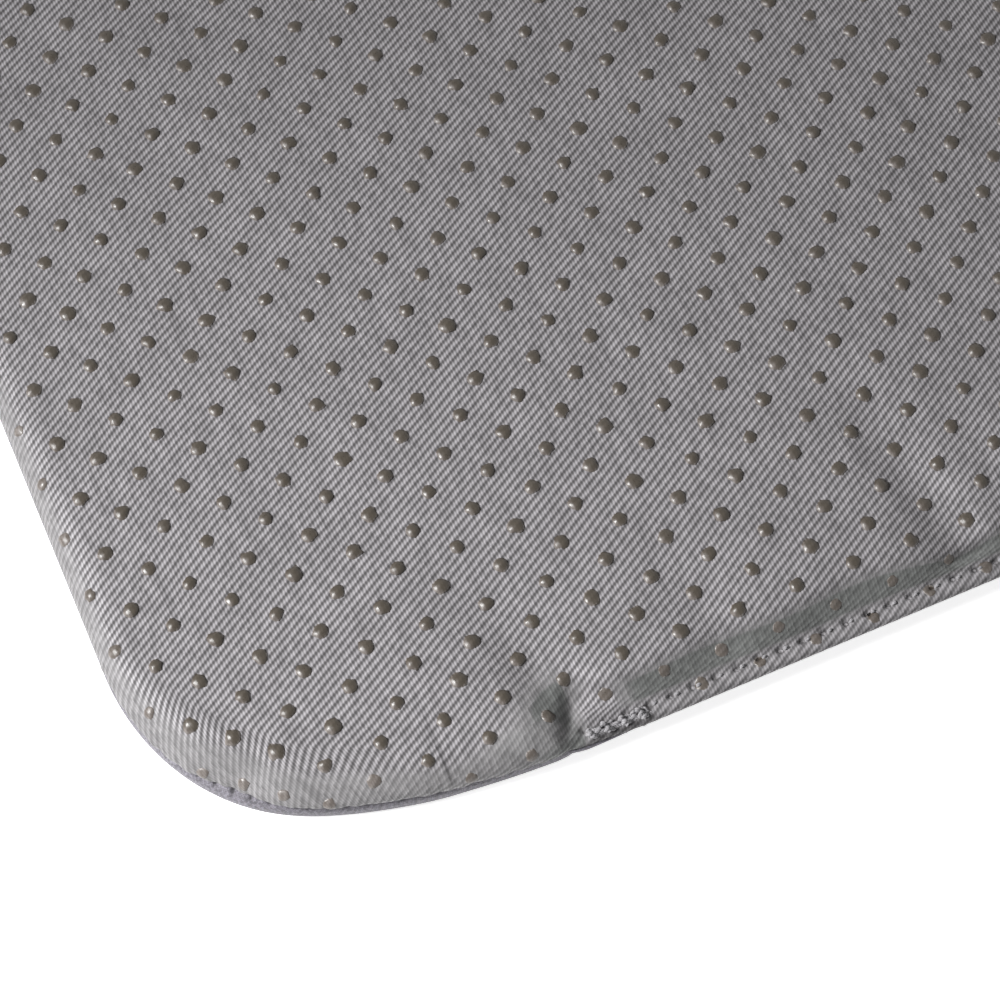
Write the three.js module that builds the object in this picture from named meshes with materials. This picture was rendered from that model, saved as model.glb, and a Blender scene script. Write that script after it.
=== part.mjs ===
// A padded heat press mat, lying with its non-slip face up.
// Two cloth covers are sewn edge to edge, turned out like a pillowcase, filled with a stack of padding
// and closed along one side by a topstitched lip.
// Units are millimetres. The origin is on the resting plane, under the middle of the mat.
// +Z is the way the non-slip face looks, and the closed side faces -Y.
import * as THREE from "three";

// Outline of the mat, seen from above
const matWidth = 305;
const matDepth = 305;
const cornerRadius = 34;

// Cloth and padding, from the press face up
const pressClothThickness = 0.6;
const foilThickness = 0.3;
const feltThickness = 1.9;
const foamThickness = 4;
const liningThickness = 0.5;
const gripClothThickness = 0.6;
const layerGap = 0.02;

// Edge of the mat: the seam's height above the press face, and how the covers roll towards it
const seamHeight = 3.6;
const seamTuck = 0.5;
const gripRoll = 4.5;
const pressRoll = 3.6;
const seamAllowance = 4.5;
const paddingClearance = 0.4;

// Closing seam: both covers fold in and are pinched into one flat lip
const closingSetback = 8;
const pinchFade = 7;
const pinchRun = 6;
const stitchMargin = 1.9;
const foldPress = 0.85;

// Sewing thread
const threadDiameter = 0.5;
const threadGap = 0.05;
const stitchLength = 3;
const stitchRise = 0.35;
const backtackLength = 12;
const backtackGap = 0.4;

// Mesh fineness
const cornerSegments = 8;
const profilePoints = 8;
const stepsPerStitch = 3;
const threadSides = 4;
const seamStep = 9;

// Heights of the layers, worked out from the thicknesses
const foilBase = pressClothThickness + layerGap;
const feltBase = foilBase + foilThickness + layerGap;
const foamBase = feltBase + feltThickness + layerGap;
const liningBase = foamBase + foamThickness + layerGap;
const gripInside = liningBase + liningThickness + layerGap;
const matThickness = gripInside + gripClothThickness;

// The two seam allowances lie face to face, one just above the seam plane and one just below it
const gripSeam = seamHeight + layerGap / 2;
const pressSeam = seamHeight - layerGap / 2;

// The lip is two plies of each cover, pressed flat by the stitches, and the slope ends a thread behind them
const lipTop = gripSeam + 2 * gripClothThickness * foldPress;
const lipUnderside = pressSeam - 2 * pressClothThickness * foldPress;
const lipWidth = stitchMargin + threadDiameter;

// The closing seam is centred on its side: it fades in after a straight stretch beside each round corner
const closingHalf = matWidth / 2 - cornerRadius - closingSetback - pinchFade;
const fadeEnd = closingHalf + pinchFade;

const finishes = {
  twill: { color: 0x9d9a98, roughness: 0.85, metalness: 0 },
  pressWeave: { color: 0x77757c, roughness: 0.8, metalness: 0 },
  foil: { color: 0xc9ccd0, roughness: 0.3, metalness: 1 },
  felt: { color: 0xdcd8cf, roughness: 1, metalness: 0 },
  sponge: { color: 0xb8573f, roughness: 0.95, metalness: 0 },
  lining: { color: 0xe4e2dc, roughness: 1, metalness: 0 },
  thread: { color: 0x8f8d90, roughness: 0.7, metalness: 0 },
};

/** A point on the mat's outline, its outward direction, and how strongly the closing seam pinches there. */
function station(x, y, angle, pinch = 0) {
  return { x, y, nx: Math.cos(angle), ny: Math.sin(angle), pinch };
}

/** One rounded corner of the outline, as stations that turn a quarter circle from the start angle. */
function cornerStations(signX, signY, startAngle) {
  const centreX = signX * (matWidth / 2 - cornerRadius);
  const centreY = signY * (matDepth / 2 - cornerRadius);
  return Array.from({ length: cornerSegments + 1 }, (_, i) => {
    const angle = startAngle + (i / cornerSegments) * (Math.PI / 2);
    const x = centreX + cornerRadius * Math.cos(angle);
    const y = centreY + cornerRadius * Math.sin(angle);
    return station(x, y, angle);
  });
}

/** The whole outline, anticlockwise from above, with the extra stations that the closing lip needs. */
function outlineStations() {
  const closingSide = (x, pinch) => station(x, -matDepth / 2, -Math.PI / 2, pinch);
  return [
    closingSide(-fadeEnd, 0),
    closingSide(-closingHalf - pinchFade / 2, 0.5),
    closingSide(-closingHalf, 1),
    closingSide(closingHalf, 1),
    closingSide(closingHalf + pinchFade / 2, 0.5),
    closingSide(fadeEnd, 0),
    ...cornerStations(1, -1, -Math.PI / 2),
    ...cornerStations(1, 1, 0),
    ...cornerStations(-1, 1, Math.PI / 2),
    ...cornerStations(-1, -1, Math.PI),
  ];
}

const smooth = (u) => u * u * (3 - 2 * u);
const mix = (a, b, share) => a + (b - a) * share;

/** Points of a profile: pointAt(u) gives [inset, height] for u from 0 at the face to 1 at the seam. */
function profile(pointAt, count = profilePoints) {
  return Array.from({ length: count }, (_, i) => pointAt(i / (count - 1)));
}

/** A quarter-round edge from [roll, face] on the flat face to [tuck, seam] at the seam. */
function rolledEdge(roll, face, tuck, seam, count = profilePoints) {
  return profile((u) => {
    const angle = (u * Math.PI) / 2;
    return [mix(roll, tuck, Math.sin(angle)), mix(seam, face, Math.cos(angle))];
  }, count);
}

/** A slope that eases from [top, face] on the flat face down to [foot, seam] beside the lip. */
function pinchedSlope(top, face, foot, seam, count = profilePoints) {
  return profile((u) => [mix(top, foot, u), mix(face, seam, smooth(u))], count);
}

/** The press cover's outside: rolled up from its face to a bulge half-way, then drawn in to the seam. */
function bulgedEdge(roll, tuck, seam) {
  const bulge = seam / 2;
  const rollPoints = Math.ceil(profilePoints / 2) + 1;
  const rollUp = rolledEdge(roll, 0, 0, bulge, rollPoints);
  const drawIn = profile((u) => [tuck * smooth(u), mix(bulge, seam, u)], profilePoints - rollPoints + 1);
  return [...rollUp, ...drawIn.slice(1)];
}

/** A closed surface through rings of equally many points, with its first and last ring capped. */
function ringSurface(rings) {
  const perRing = rings[0].length;
  const centre = (ring) =>
    ring.reduce((sum, point) => sum.add(point), new THREE.Vector3()).divideScalar(perRing);
  const points = [...rings.flat(), centre(rings[0]), centre(rings.at(-1))];
  const firstCap = rings.length * perRing;
  const triangles = [];
  for (let i = 0; i < perRing; i++) {
    const next = (i + 1) % perRing;
    triangles.push(firstCap, i, next);
    for (let k = 0; k < rings.length - 1; k++) {
      const a = k * perRing + i;
      const b = k * perRing + next;
      triangles.push(a, a + perRing, b + perRing, a, b + perRing, b);
    }
    const last = (rings.length - 1) * perRing;
    triangles.push(firstCap + 1, last + next, last + i);
  }
  return new THREE.BufferGeometry().setFromPoints(points).setIndex(triangles);
}

/** A cover: rings of [inset, height] profile points, each blended from the rolled to the pinched edge. */
function coverGeometry(rolled, pinched) {
  const stations = outlineStations();
  const rings = rolled.map(([inset, height], k) =>
    stations.map((s) => {
      const d = mix(inset, pinched[k][0], s.pinch);
      const z = mix(height, pinched[k][1], s.pinch);
      return new THREE.Vector3(s.x - d * s.nx, s.y - d * s.ny, z);
    }),
  );
  return ringSurface(rings);
}

/** The non-slip face: twill over the top and round the edge, with its seam allowance turned in. */
function gripCoverGeometry() {
  const cloth = gripClothThickness;
  const allowanceTop = gripSeam + cloth;
  const slopeTop = lipWidth + pinchRun;
  const flange = (fold) => [
    [fold + seamAllowance, gripSeam],
    [fold + seamAllowance, allowanceTop],
  ];
  const rolled = [
    ...rolledEdge(gripRoll, matThickness, seamTuck, gripSeam),
    ...flange(seamTuck),
    ...rolledEdge(gripRoll, gripInside, seamTuck + cloth, allowanceTop).reverse(),
  ];
  const pinched = [
    ...pinchedSlope(slopeTop, matThickness, lipWidth, lipTop, profilePoints - 2),
    [0, lipTop],
    [0, gripSeam],
    ...flange(lipWidth),
    ...pinchedSlope(slopeTop + cloth, gripInside, lipWidth + cloth, allowanceTop).reverse(),
  ];
  return coverGeometry(rolled, pinched);
}

/** The press face: cloth under the padding and round the lower edge, with its allowance turned in. */
function pressCoverGeometry() {
  const cloth = pressClothThickness;
  const allowanceUnderside = pressSeam - cloth;
  const slopeTop = lipWidth + pinchRun;
  const flange = (fold) => [
    [fold + seamAllowance, allowanceUnderside],
    [fold + seamAllowance, pressSeam],
  ];
  const rolled = [
    ...rolledEdge(pressRoll, cloth, seamTuck + cloth, allowanceUnderside),
    ...flange(seamTuck),
    ...bulgedEdge(pressRoll, seamTuck, pressSeam).reverse(),
  ];
  const pinched = [
    ...pinchedSlope(slopeTop + cloth, cloth, lipWidth + cloth, allowanceUnderside),
    ...flange(lipWidth),
    [0, pressSeam],
    [0, lipUnderside],
    ...pinchedSlope(slopeTop, 0, lipWidth, lipUnderside, profilePoints - 2).reverse(),
  ];
  return coverGeometry(rolled, pinched);
}

/** The padding's outline: inside the rolled edges, and further in behind the pinched slope. */
function paddingShape() {
  const cloth = Math.max(gripClothThickness, pressClothThickness);
  const edge = Math.max(gripRoll, pressRoll, seamTuck + seamAllowance);
  const side = edge + paddingClearance;
  const slope = lipWidth + Math.max(pinchRun + cloth, seamAllowance) + paddingClearance;
  const closing = Math.max(side, slope);
  const left = -matWidth / 2 + side;
  const bottom = -matDepth / 2 + closing;
  const right = -left;
  const top = matDepth / 2 - side;
  const radius = cornerRadius - side;
  const shape = new THREE.Shape();
  shape.absarc(right - radius, bottom + radius, radius, -Math.PI / 2, 0);
  shape.absarc(right - radius, top - radius, radius, 0, Math.PI / 2);
  shape.absarc(left + radius, top - radius, radius, Math.PI / 2, Math.PI);
  shape.absarc(left + radius, bottom + radius, radius, Math.PI, 1.5 * Math.PI);
  return shape;
}

/** One flat layer of padding, standing on z = 0. */
function paddingGeometry(thickness) {
  const options = { depth: thickness, bevelEnabled: false, curveSegments: cornerSegments };
  return new THREE.ExtrudeGeometry(paddingShape(), options);
}

/** A thread laid along points that never run straight up: an even tube with flat ends. */
function threadGeometry(points) {
  const up = new THREE.Vector3(0, 0, 1);
  const rings = points.map((point, k) => {
    const before = points[Math.max(k - 1, 0)];
    const after = points[Math.min(k + 1, points.length - 1)];
    const along = after.clone().sub(before).normalize();
    const across = along.clone().cross(up).normalize();
    const over = across.clone().cross(along);
    return Array.from({ length: threadSides }, (_, i) => {
      const angle = ((i + 0.5) / threadSides) * 2 * Math.PI;
      return point
        .clone()
        .addScaledVector(across, (threadDiameter / 2) * Math.cos(angle))
        .addScaledVector(over, (threadDiameter / 2) * Math.sin(angle));
    });
  });
  return ringSurface(rings);
}

/** The perimeter seam's line: just inside the fold, from one end of the closing seam round to the other. */
function perimeterLine(z) {
  const inset = seamTuck + Math.max(gripClothThickness, pressClothThickness) + threadDiameter;
  const endX = fadeEnd + closingSetback / 2;
  const stations = outlineStations().filter((s) => Math.abs(s.x) > endX);
  const ends = [1, -1].map((sign) => station(sign * endX, -matDepth / 2, -Math.PI / 2));
  const line = [ends[0], ...stations, ends[1]].map(
    (s) => new THREE.Vector3(s.x - inset * s.nx, s.y - inset * s.ny, z),
  );
  return line.flatMap(divideRun);
}

/** A point and, where the next one is far off, evenly spaced points on the way to it. */
function divideRun(point, i, line) {
  const next = line[i + 1];
  if (!next) return [point];
  const parts = Math.max(1, Math.round(point.distanceTo(next) / seamStep));
  return Array.from({ length: parts }, (_, k) => point.clone().lerp(next, k / parts));
}

/** The closing seam's line: humps on the lip, doubled back beside themselves at both ends. */
function closingLine(z, rise) {
  const row = -matDepth / 2 + stitchMargin;
  const backRow = row - threadDiameter - backtackGap;
  const stitches = Math.max(2, Math.floor((2 * closingHalf) / stitchLength));
  const backStitches = Math.min(Math.round(backtackLength / stitchLength), Math.floor(stitches / 2) - 1);
  const end = (stitches * stitchLength) / 2;
  const humps = (fromX, direction, count, y) =>
    Array.from({ length: count * stepsPerStitch + 1 }, (_, i) => {
      const along = i / stepsPerStitch;
      const hump = Math.abs(Math.sin(along * Math.PI));
      return new THREE.Vector3(fromX + direction * along * stitchLength, y, z + rise * hump);
    });
  return [
    ...humps(-end + backStitches * stitchLength, -1, backStitches, backRow),
    ...humps(-end, 1, stitches, row),
    ...humps(end, -1, backStitches, backRow),
  ];
}

const mat = new THREE.Group();

function addPiece(name, geometry, finish, z = 0) {
  const mesh = new THREE.Mesh(geometry, new THREE.MeshStandardMaterial(finishes[finish]));
  mesh.name = name;
  mesh.position.z = z;
  mat.add(mesh);
}

// Covers
addPiece("grip_cover", gripCoverGeometry(), "twill");
addPiece("press_cover", pressCoverGeometry(), "pressWeave");

// Padding
addPiece("reflective_foil", paddingGeometry(foilThickness), "foil", foilBase);
addPiece("wicking_felt", paddingGeometry(feltThickness), "felt", feltBase);
addPiece("foam_core", paddingGeometry(foamThickness), "sponge", foamBase);
addPiece("insulating_lining", paddingGeometry(liningThickness), "lining", liningBase);

// Threads: the perimeter seam's two lie on the turned-in allowances, the closing seam's two on the lip
const standoff = threadGap + threadDiameter / 2;
const seamNeedleLine = perimeterLine(gripSeam + gripClothThickness + standoff);
const seamBobbinLine = perimeterLine(pressSeam - pressClothThickness - standoff);
const closingNeedleLine = closingLine(lipTop + standoff, stitchRise);
const closingBobbinLine = closingLine(lipUnderside - standoff, -stitchRise);
addPiece("seam_needle_thread", threadGeometry(seamNeedleLine), "thread");
addPiece("seam_bobbin_thread", threadGeometry(seamBobbinLine), "thread");
addPiece("closing_needle_thread", threadGeometry(closingNeedleLine), "thread");
addPiece("closing_bobbin_thread", threadGeometry(closingBobbinLine), "thread");

export default mat;
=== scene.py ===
"""A padded heat press mat, lying with its dotted non-slip face up.

Two cloth covers are sewn round their edge over four loose layers of padding. One side was left open to turn
the mat right side out, and was then pressed to a flat lip and topstitched. Lengths are metres, in the frame
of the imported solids: +Z out of the non-slip face, -Y towards the topstitched side.
"""

import logging
import math
from abc import ABC, abstractmethod
from dataclasses import dataclass, field
from enum import Enum
from functools import cached_property
from typing import Sequence

import bpy
import numpy as np
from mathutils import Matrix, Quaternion, Vector
from mathutils.bvhtree import BVHTree
from mathutils.geometry import delaunay_2d_cdt


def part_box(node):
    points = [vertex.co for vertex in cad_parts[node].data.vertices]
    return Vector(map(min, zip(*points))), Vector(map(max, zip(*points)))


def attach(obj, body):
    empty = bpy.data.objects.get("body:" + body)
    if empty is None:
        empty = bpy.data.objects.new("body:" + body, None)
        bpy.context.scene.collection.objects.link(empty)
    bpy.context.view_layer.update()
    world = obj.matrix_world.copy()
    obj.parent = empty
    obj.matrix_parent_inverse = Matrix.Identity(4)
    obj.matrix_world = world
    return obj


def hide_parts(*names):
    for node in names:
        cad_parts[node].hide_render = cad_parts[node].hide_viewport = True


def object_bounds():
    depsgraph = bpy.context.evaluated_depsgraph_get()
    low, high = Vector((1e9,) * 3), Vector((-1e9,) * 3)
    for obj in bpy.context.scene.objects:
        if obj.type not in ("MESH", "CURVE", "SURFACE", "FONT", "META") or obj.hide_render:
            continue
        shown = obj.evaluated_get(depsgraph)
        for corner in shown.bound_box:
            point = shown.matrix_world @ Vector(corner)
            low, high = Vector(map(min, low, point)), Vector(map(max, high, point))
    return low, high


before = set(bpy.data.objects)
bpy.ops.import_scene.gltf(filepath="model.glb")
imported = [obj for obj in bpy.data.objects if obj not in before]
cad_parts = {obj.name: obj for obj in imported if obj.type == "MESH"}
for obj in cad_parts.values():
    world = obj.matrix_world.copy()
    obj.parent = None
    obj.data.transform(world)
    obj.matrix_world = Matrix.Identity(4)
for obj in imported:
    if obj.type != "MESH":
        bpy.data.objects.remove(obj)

MM = 0.001
CLOTH_PLACE = "cloth_place"
# How clear each dome is, with painted light on its side towards the key lamp.
CLARITY_AND_LIT_SIDE = "clarity_and_lit_side"
RIM = "rim"
# How taut the cloth is, which also sets the twill's painted loss of sheen and painted shade.
TAUT_AND_SHADE = "taut"
# Where the needle went through, and so where shade is painted into the covers' colour.
HOLE_SHADE = "shaded_hole"
SOLIDS_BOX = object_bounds()

Array = np.ndarray
Socket = bpy.types.NodeSocket
Value = Socket | float
Colour = tuple[float, float, float]

log = logging.getLogger("heat_press_mat")


def ease(share: Array | float) -> Array:
    """Smooth step from 0 to 1 as share goes from 0 to 1."""
    u = np.clip(share, 0.0, 1.0)
    return u * u * (3.0 - 2.0 * u)


def rounded_path(corners: Sequence[tuple[float, float]], reaches: Sequence[float], fine: int = 24) -> Array:
    """A line through corners, with each inner corner rounded off.

    Args:
        corners: The corners of the line.
        reaches: How far from each inner corner the rounding starts.
        fine: Points of each rounding.

    Returns:
        Close points along the line.
    """
    line = np.array(corners)
    points = [line[0]]
    share = np.linspace(0.0, 1.0, fine)[:, None]
    for before, corner, after, reach in zip(line[:-2], line[1:-1], line[2:], reaches):
        first = corner + (before - corner) / np.linalg.norm(before - corner) * reach
        last = corner + (after - corner) / np.linalg.norm(after - corner) * reach
        points.extend(first * (1 - share) ** 2 + corner * 2 * share * (1 - share) + last * share**2)
    points.append(line[-1])
    return np.array(points)


def spaced(path: Array, count: int) -> Array:
    """Points at even distances along a path.

    Args:
        path: Points of the path.
        count: How many points are wanted.

    Returns:
        The points, the path's ends among them.
    """
    travel = np.concatenate([[0.0], np.cumsum(np.linalg.norm(np.diff(path, axis=0), axis=1))])
    even = np.linspace(0.0, travel[-1], count)
    return np.stack([np.interp(even, travel, path[:, k]) for k in range(path.shape[1])], 1)


def fill_ring(ring: Array, step: float) -> tuple[Array, list[Sequence[int]]]:
    """Fills the inside of a ring.

    Args:
        ring: The ring on the plan, anticlockwise.
        step: Distance between the points inside it.

    Returns:
        Points on an even grid inside it, and triangles over the ring's points and then these.
    """
    low, high = ring.min(0) + 0.7 * step, ring.max(0) - 0.7 * step
    counts = np.ceil((high - low) / step).astype(int) + 1
    axes = [np.linspace(a, b, n) for a, b, n in zip(low, high, counts)]
    grid = np.stack(np.meshgrid(*axes), -1).reshape(-1, 2)
    after = np.roll(ring, -1, 0)
    side = (after - ring)[None, :, 0] * (grid[:, None, 1] - ring[None, :, 1])
    side -= (after - ring)[None, :, 1] * (grid[:, None, 0] - ring[None, :, 0])
    grid = grid[(side / np.linalg.norm(after - ring, axis=1)[None]).min(1) > 0.5 * step]
    every = [Vector(p) for p in np.concatenate([ring, grid])]
    edges = [(i, (i + 1) % len(ring)) for i in range(len(ring))]
    _, _, triangles, sources, _, _ = delaunay_2d_cdt(every, edges, [], 1, 1e-9)
    return grid, [[sources[corner][0] for corner in triangle] for triangle in triangles]


def loft(count: int, per: int) -> list[Sequence[int]]:
    """Faces between rings of points that are numbered station by station.

    Args:
        count: Stations round the rings.
        per: Rings, and so points of a station.

    Returns:
        Four corners of each face, ring by ring.
    """
    i = np.arange(count)
    after = (i + 1) % count
    faces: list[Sequence[int]] = []
    for k in range(per - 1):
        faces.extend(np.stack([i * per + k, i * per + k + 1, after * per + k + 1, after * per + k], 1))
    return faces


@dataclass(frozen=True)
class Waves:
    """Gentle seeded waves over a plane.

    Attributes:
        wavelength: Middle length of the waves.
        seed: Seed of their directions, lengths and shifts.
        count: How many waves are added up.
    """

    wavelength: float
    seed: int
    count: int = 10

    def at(self, x: Array, y: Array) -> Array:
        """Adds up the waves.

        Args:
            x: Places along X.
            y: Places along Y.

        Returns:
            A height for each place, mostly between -1 and 1.
        """
        rng = np.random.default_rng(self.seed)
        turn = rng.uniform(0.0, 2.0 * math.pi, self.count)
        pitch = 2.0 * math.pi / self.wavelength * rng.uniform(0.6, 1.6, self.count)
        shift = rng.uniform(0.0, 2.0 * math.pi, self.count)
        total = np.zeros(np.shape(x))
        for angle, rate, start in zip(turn, pitch, shift):
            total += np.sin(rate * (x * math.cos(angle) + y * math.sin(angle)) + start)
        return total / math.sqrt(2.0 * self.count)


@dataclass(frozen=True)
class Dent:
    """A soft hollow in the mat's top, deepest at its start.

    Attributes:
        start: Where it is deepest, on the plan.
        end: Where it has run out.
        depth: Depth at the start.
        left: How far its left flank reaches, to where the depth has fallen to about a third.
        right: How far its right flank reaches.
        roundness: 2 for a round bottom, 1 for a sharp crease.
    """

    start: tuple[float, float]
    end: tuple[float, float]
    depth: float
    left: float
    right: float
    roundness: float

    def depth_at(self, x: Array, y: Array) -> Array:
        """Depth of the hollow.

        Args:
            x: Places along X.
            y: Places along Y.

        Returns:
            The depth at each place.
        """
        along_x, along_y = self.end[0] - self.start[0], self.end[1] - self.start[1]
        from_x, from_y = x - self.start[0], y - self.start[1]
        share = np.clip((from_x * along_x + from_y * along_y) / (along_x**2 + along_y**2), 0.0, 1.0)
        away = np.hypot(from_x - share * along_x, from_y - share * along_y)
        reach = np.where(from_x * along_y > from_y * along_x, self.right, self.left)
        return self.depth * (1.0 - ease(share)) * np.exp(-((away / reach) ** self.roundness))


class Face(Enum):
    """The two faces of the mat, by the way they look along Z."""

    GRIP = 1
    PRESS = -1


@dataclass(frozen=True)
class Stations:
    """Places round the mat's edge, anticlockwise from the left end of the closing side.

    Attributes:
        point: Places on the outline, one row each.
        outward: The way out of the mat at each place.
        travel: Distance along the outline.
        pinch: 1 where the edge is pressed to a lip, 0 where it is rolled.
        draw: How far the rolled edge is drawn in.
        corner: 1 on the middle of a corner, 0 on the straight sides.
        gape: 1 where the seam gapes, near the middle of a corner.
    """

    point: Array
    outward: Array
    travel: Array
    pinch: Array
    draw: Array
    corner: Array
    gape: Array


@dataclass(frozen=True)
class MatForm:
    """Outer sizes of the mat, read from the solids, and the form that its sewn edge takes.

    Attributes:
        thickness: Height of the non-slip face over the table.
        seam_height: Height of the seam over the table.
        lip_width: Width of the pressed lip.
        lip_ply: Thickness of the lip on either side of the seam.
        stitch_margin: How far the topstitched row lies in from the outline.
        seam_stitch: Length of a stitch of the edge seam.
        closing_half: Half the length of the topstitched row.
        pinch_fade: Length over which the lip turns into the rolled edge.
        pinch_lead: How far before the row's end that starts.
        draw_depth: How far the edge is drawn in past the lip's ends.
        draw_peak: Where it is drawn in most, from the end of the straight side.
        draw_reach: How far along the edge that reaches.
        gape_shift: How far the gape lies from a corner's middle.
        gape_reach: How far along the edge it reaches.
        gape_shares: How much each corner gapes, anticlockwise from the near right one.
    """

    half_width: float
    half_depth: float
    thickness: float
    corner_radius: float = 33.9 * MM
    seam_height: float = 3.6 * MM
    lip_width: float = 2.4 * MM
    lip_ply: float = 1.02 * MM
    stitch_margin: float = 1.9 * MM
    stitch_length: float = 3.0 * MM
    seam_stitch: float = 2.5 * MM
    closing_half: float = 100.9 * MM
    pinch_fade: float = 5.6 * MM
    pinch_lead: float = 1.2 * MM
    edge_step: float = 0.6 * MM
    corner_step: float = 0.3 * MM
    closing_step: float = 0.3 * MM
    draw_depth: float = 2.3 * MM
    draw_peak: float = -9.0 * MM
    draw_reach: float = 15.0 * MM
    gape_shift: float = -2.3 * MM
    gape_reach: float = 5.0 * MM
    gape_shares: tuple[float, float, float, float] = (0.3, 0.3, 0.3, 1.0)

    @classmethod
    def from_solids(cls) -> "MatForm":
        """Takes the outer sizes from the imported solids' box."""
        low, high = SOLIDS_BOX
        return cls((high.x - low.x) / 2.0, (high.y - low.y) / 2.0, high.z)

    @property
    def straight_x(self) -> float:
        """Half the straight run of a side along X."""
        return self.half_width - self.corner_radius

    @property
    def straight_y(self) -> float:
        """Half the straight run of a side along Y."""
        return self.half_depth - self.corner_radius

    @property
    def stitch_row(self) -> float:
        """Y of the topstitched row."""
        return -self.half_depth + self.stitch_margin

    @cached_property
    def stations(self) -> Stations:
        """Goes round the edge, anticlockwise from the closing side.

        Returns:
            The places that the covers are lofted through.
        """
        points, outwards = [], []
        for quarter in range(4):
            turn = math.radians(90.0 * quarter - 90.0)
            outward = np.array([math.cos(turn), math.sin(turn)])
            along = np.array([-outward[1], outward[0]])
            closing = quarter == 0
            lengthwise = quarter % 2 == 0
            run = self.straight_x if lengthwise else self.straight_y
            reach = self.half_depth if lengthwise else self.half_width
            count = round(2.0 * run / (self.closing_step if closing else self.edge_step))
            share = np.arange(count)[:, None] / count
            points.append(outward * reach + along * run * (2.0 * share - 1.0))
            outwards.append(np.repeat(outward[None], count, 0))
            centre = outward * (reach - self.corner_radius) + along * run
            count = round(self.corner_radius * math.pi / 2.0 / self.corner_step)
            angle = turn + np.arange(count) / count * math.pi / 2.0
            way = np.stack([np.cos(angle), np.sin(angle)], 1)
            points.append(centre + way * self.corner_radius)
            outwards.append(way)
        point, outward = np.concatenate(points), np.concatenate(outwards)
        steps = np.linalg.norm(np.roll(point, -1, 0) - point, axis=1)
        travel = np.concatenate([[0.0], np.cumsum(steps)[:-1]])
        whole = float(steps.sum())
        slant = np.abs(outward[:, 0] * outward[:, 1]) * 2.0
        pinch, draw, gape = self._pinch(point, outward), self._draw(travel, whole), self._gape(travel)
        return Stations(point, outward, travel, pinch, draw, ease(slant), gape)

    def _gape(self, travel: Array) -> Array:
        """Where the seam gapes, near the middle of each corner.

        Args:
            travel: Distance of each place along the outline.

        Returns:
            1 where it gapes most, fading to 0.
        """
        total = np.zeros(len(travel))
        bend = self.corner_radius * math.pi / 2.0
        middle = -0.5 * bend
        runs = (self.straight_x, self.straight_y, self.straight_x, self.straight_y)
        for run, share in zip(runs, self.gape_shares):
            middle += 2.0 * run + bend
            total += share * np.exp(-(((travel - middle - self.gape_shift) / self.gape_reach) ** 2))
        return total

    def _pinch(self, point: Array, outward: Array) -> Array:
        """How far each place is pressed to a lip, from 0 on the rolled edge to 1."""
        past_end = (np.abs(point[:, 0]) - self.closing_half + self.pinch_lead) / self.pinch_fade
        return np.where(outward[:, 1] < -0.9999, 1.0 - ease(past_end), 0.0)

    def _draw(self, travel: Array, whole: float) -> Array:
        """How far the rolled edge is drawn in past the two ends of the lip.

        Args:
            travel: Distance of each place along the outline.
            whole: Length of the outline.

        Returns:
            The draw at each place.
        """
        total = np.zeros(len(travel))
        past_left = np.where(travel < whole / 2.0, travel, travel - whole)
        for past in (past_left, 2.0 * self.straight_x - travel):
            total += np.exp(-(((past - self.draw_peak) / self.draw_reach) ** 2))
        return total * self.draw_depth


@dataclass(frozen=True)
class TopForm:
    """The soft unevenness of the padded top: slow waves, puckers along the lip, and dents.

    Attributes:
        wave_depth: Depth of the slow waves.
        pucker_depth: Depth of the puckers beside the lip.
        pucker_reach: How far the puckers run in from the lip.
        wave_mix: Level and swing of the slow waves, in depths.
        pucker_mix: Level and swing of the puckers, in depths.
        pucker_stretch: How slowly the puckers change on the way in from the lip.
        dents: Single hollows, on the plan.
    """

    mat: MatForm
    wave_depth: float = 0.16 * MM
    pucker_depth: float = 0.3 * MM
    pucker_reach: float = 7.0 * MM
    wave_mix: tuple[float, float] = (0.6, 0.5)
    pucker_mix: tuple[float, float] = (0.5, 0.7)
    pucker_stretch: float = 0.2
    waves: Waves = Waves(34.0 * MM, 11)
    puckers: Waves = Waves(17.0 * MM, 23)
    dents: tuple[Dent, ...] = tuple(
        Dent((x0 * MM, y0 * MM), (x1 * MM, y1 * MM), depth * MM, left * MM, right * MM, roundness)
        for x0, y0, x1, y1, depth, left, right, roundness in (
            (-100.2, -149.5, -103.4, -140.0, 0.5, 4.5, 2.0, 1.1),
            (-101.5, -148.0, -110.3, -119.0, 1.4, 3.8, 6.0, 2.0),
            (-80.5, -148.0, -85.0, -126.0, 0.8, 3.6, 5.0, 2.0),
            (-47.8, -148.5, -52.8, -112.0, 1.5, 3.8, 4.6, 2.0),
            (-38.5, -148.0, -43.5, -122.0, 0.9, 3.2, 4.0, 2.0),
            (-8.0, -148.0, -10.5, -124.0, 1.0, 3.6, 4.2, 2.0),
            (21.0, -148.0, 23.5, -118.0, 1.2, 4.2, 3.8, 2.0),
            (57.0, -148.0, 60.0, -120.0, 1.3, 4.6, 3.8, 2.0),
            (81.0, -148.0, 84.0, -128.0, 0.8, 4.8, 3.6, 2.0),
            (100.2, -149.5, 103.4, -140.0, 0.5, 2.0, 4.5, 1.1),
            (101.5, -148.0, 109.5, -120.0, 1.4, 6.0, 3.8, 2.0),
        )
    )

    def sink(self, x: Array, y: Array) -> Array:
        """How far the top lies under its full height.

        Args:
            x: Places along X.
            y: Places along Y.

        Returns:
            The drop at each place.
        """
        level, swing = self.wave_mix
        drop = self.wave_depth * (level + swing * self.waves.at(x, y))
        from_lip = np.clip(y + self.mat.half_depth - self.mat.lip_width, 0.0, None)
        beside = np.exp(-from_lip / self.pucker_reach) * (np.abs(x) < self.mat.straight_x)
        level, swing = self.pucker_mix
        puckered = level + swing * self.puckers.at(x, y * self.pucker_stretch)
        drop = drop + self.pucker_depth * beside * puckered
        for dent in self.dents:
            drop = drop + dent.depth_at(x, y)
        return drop


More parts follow.
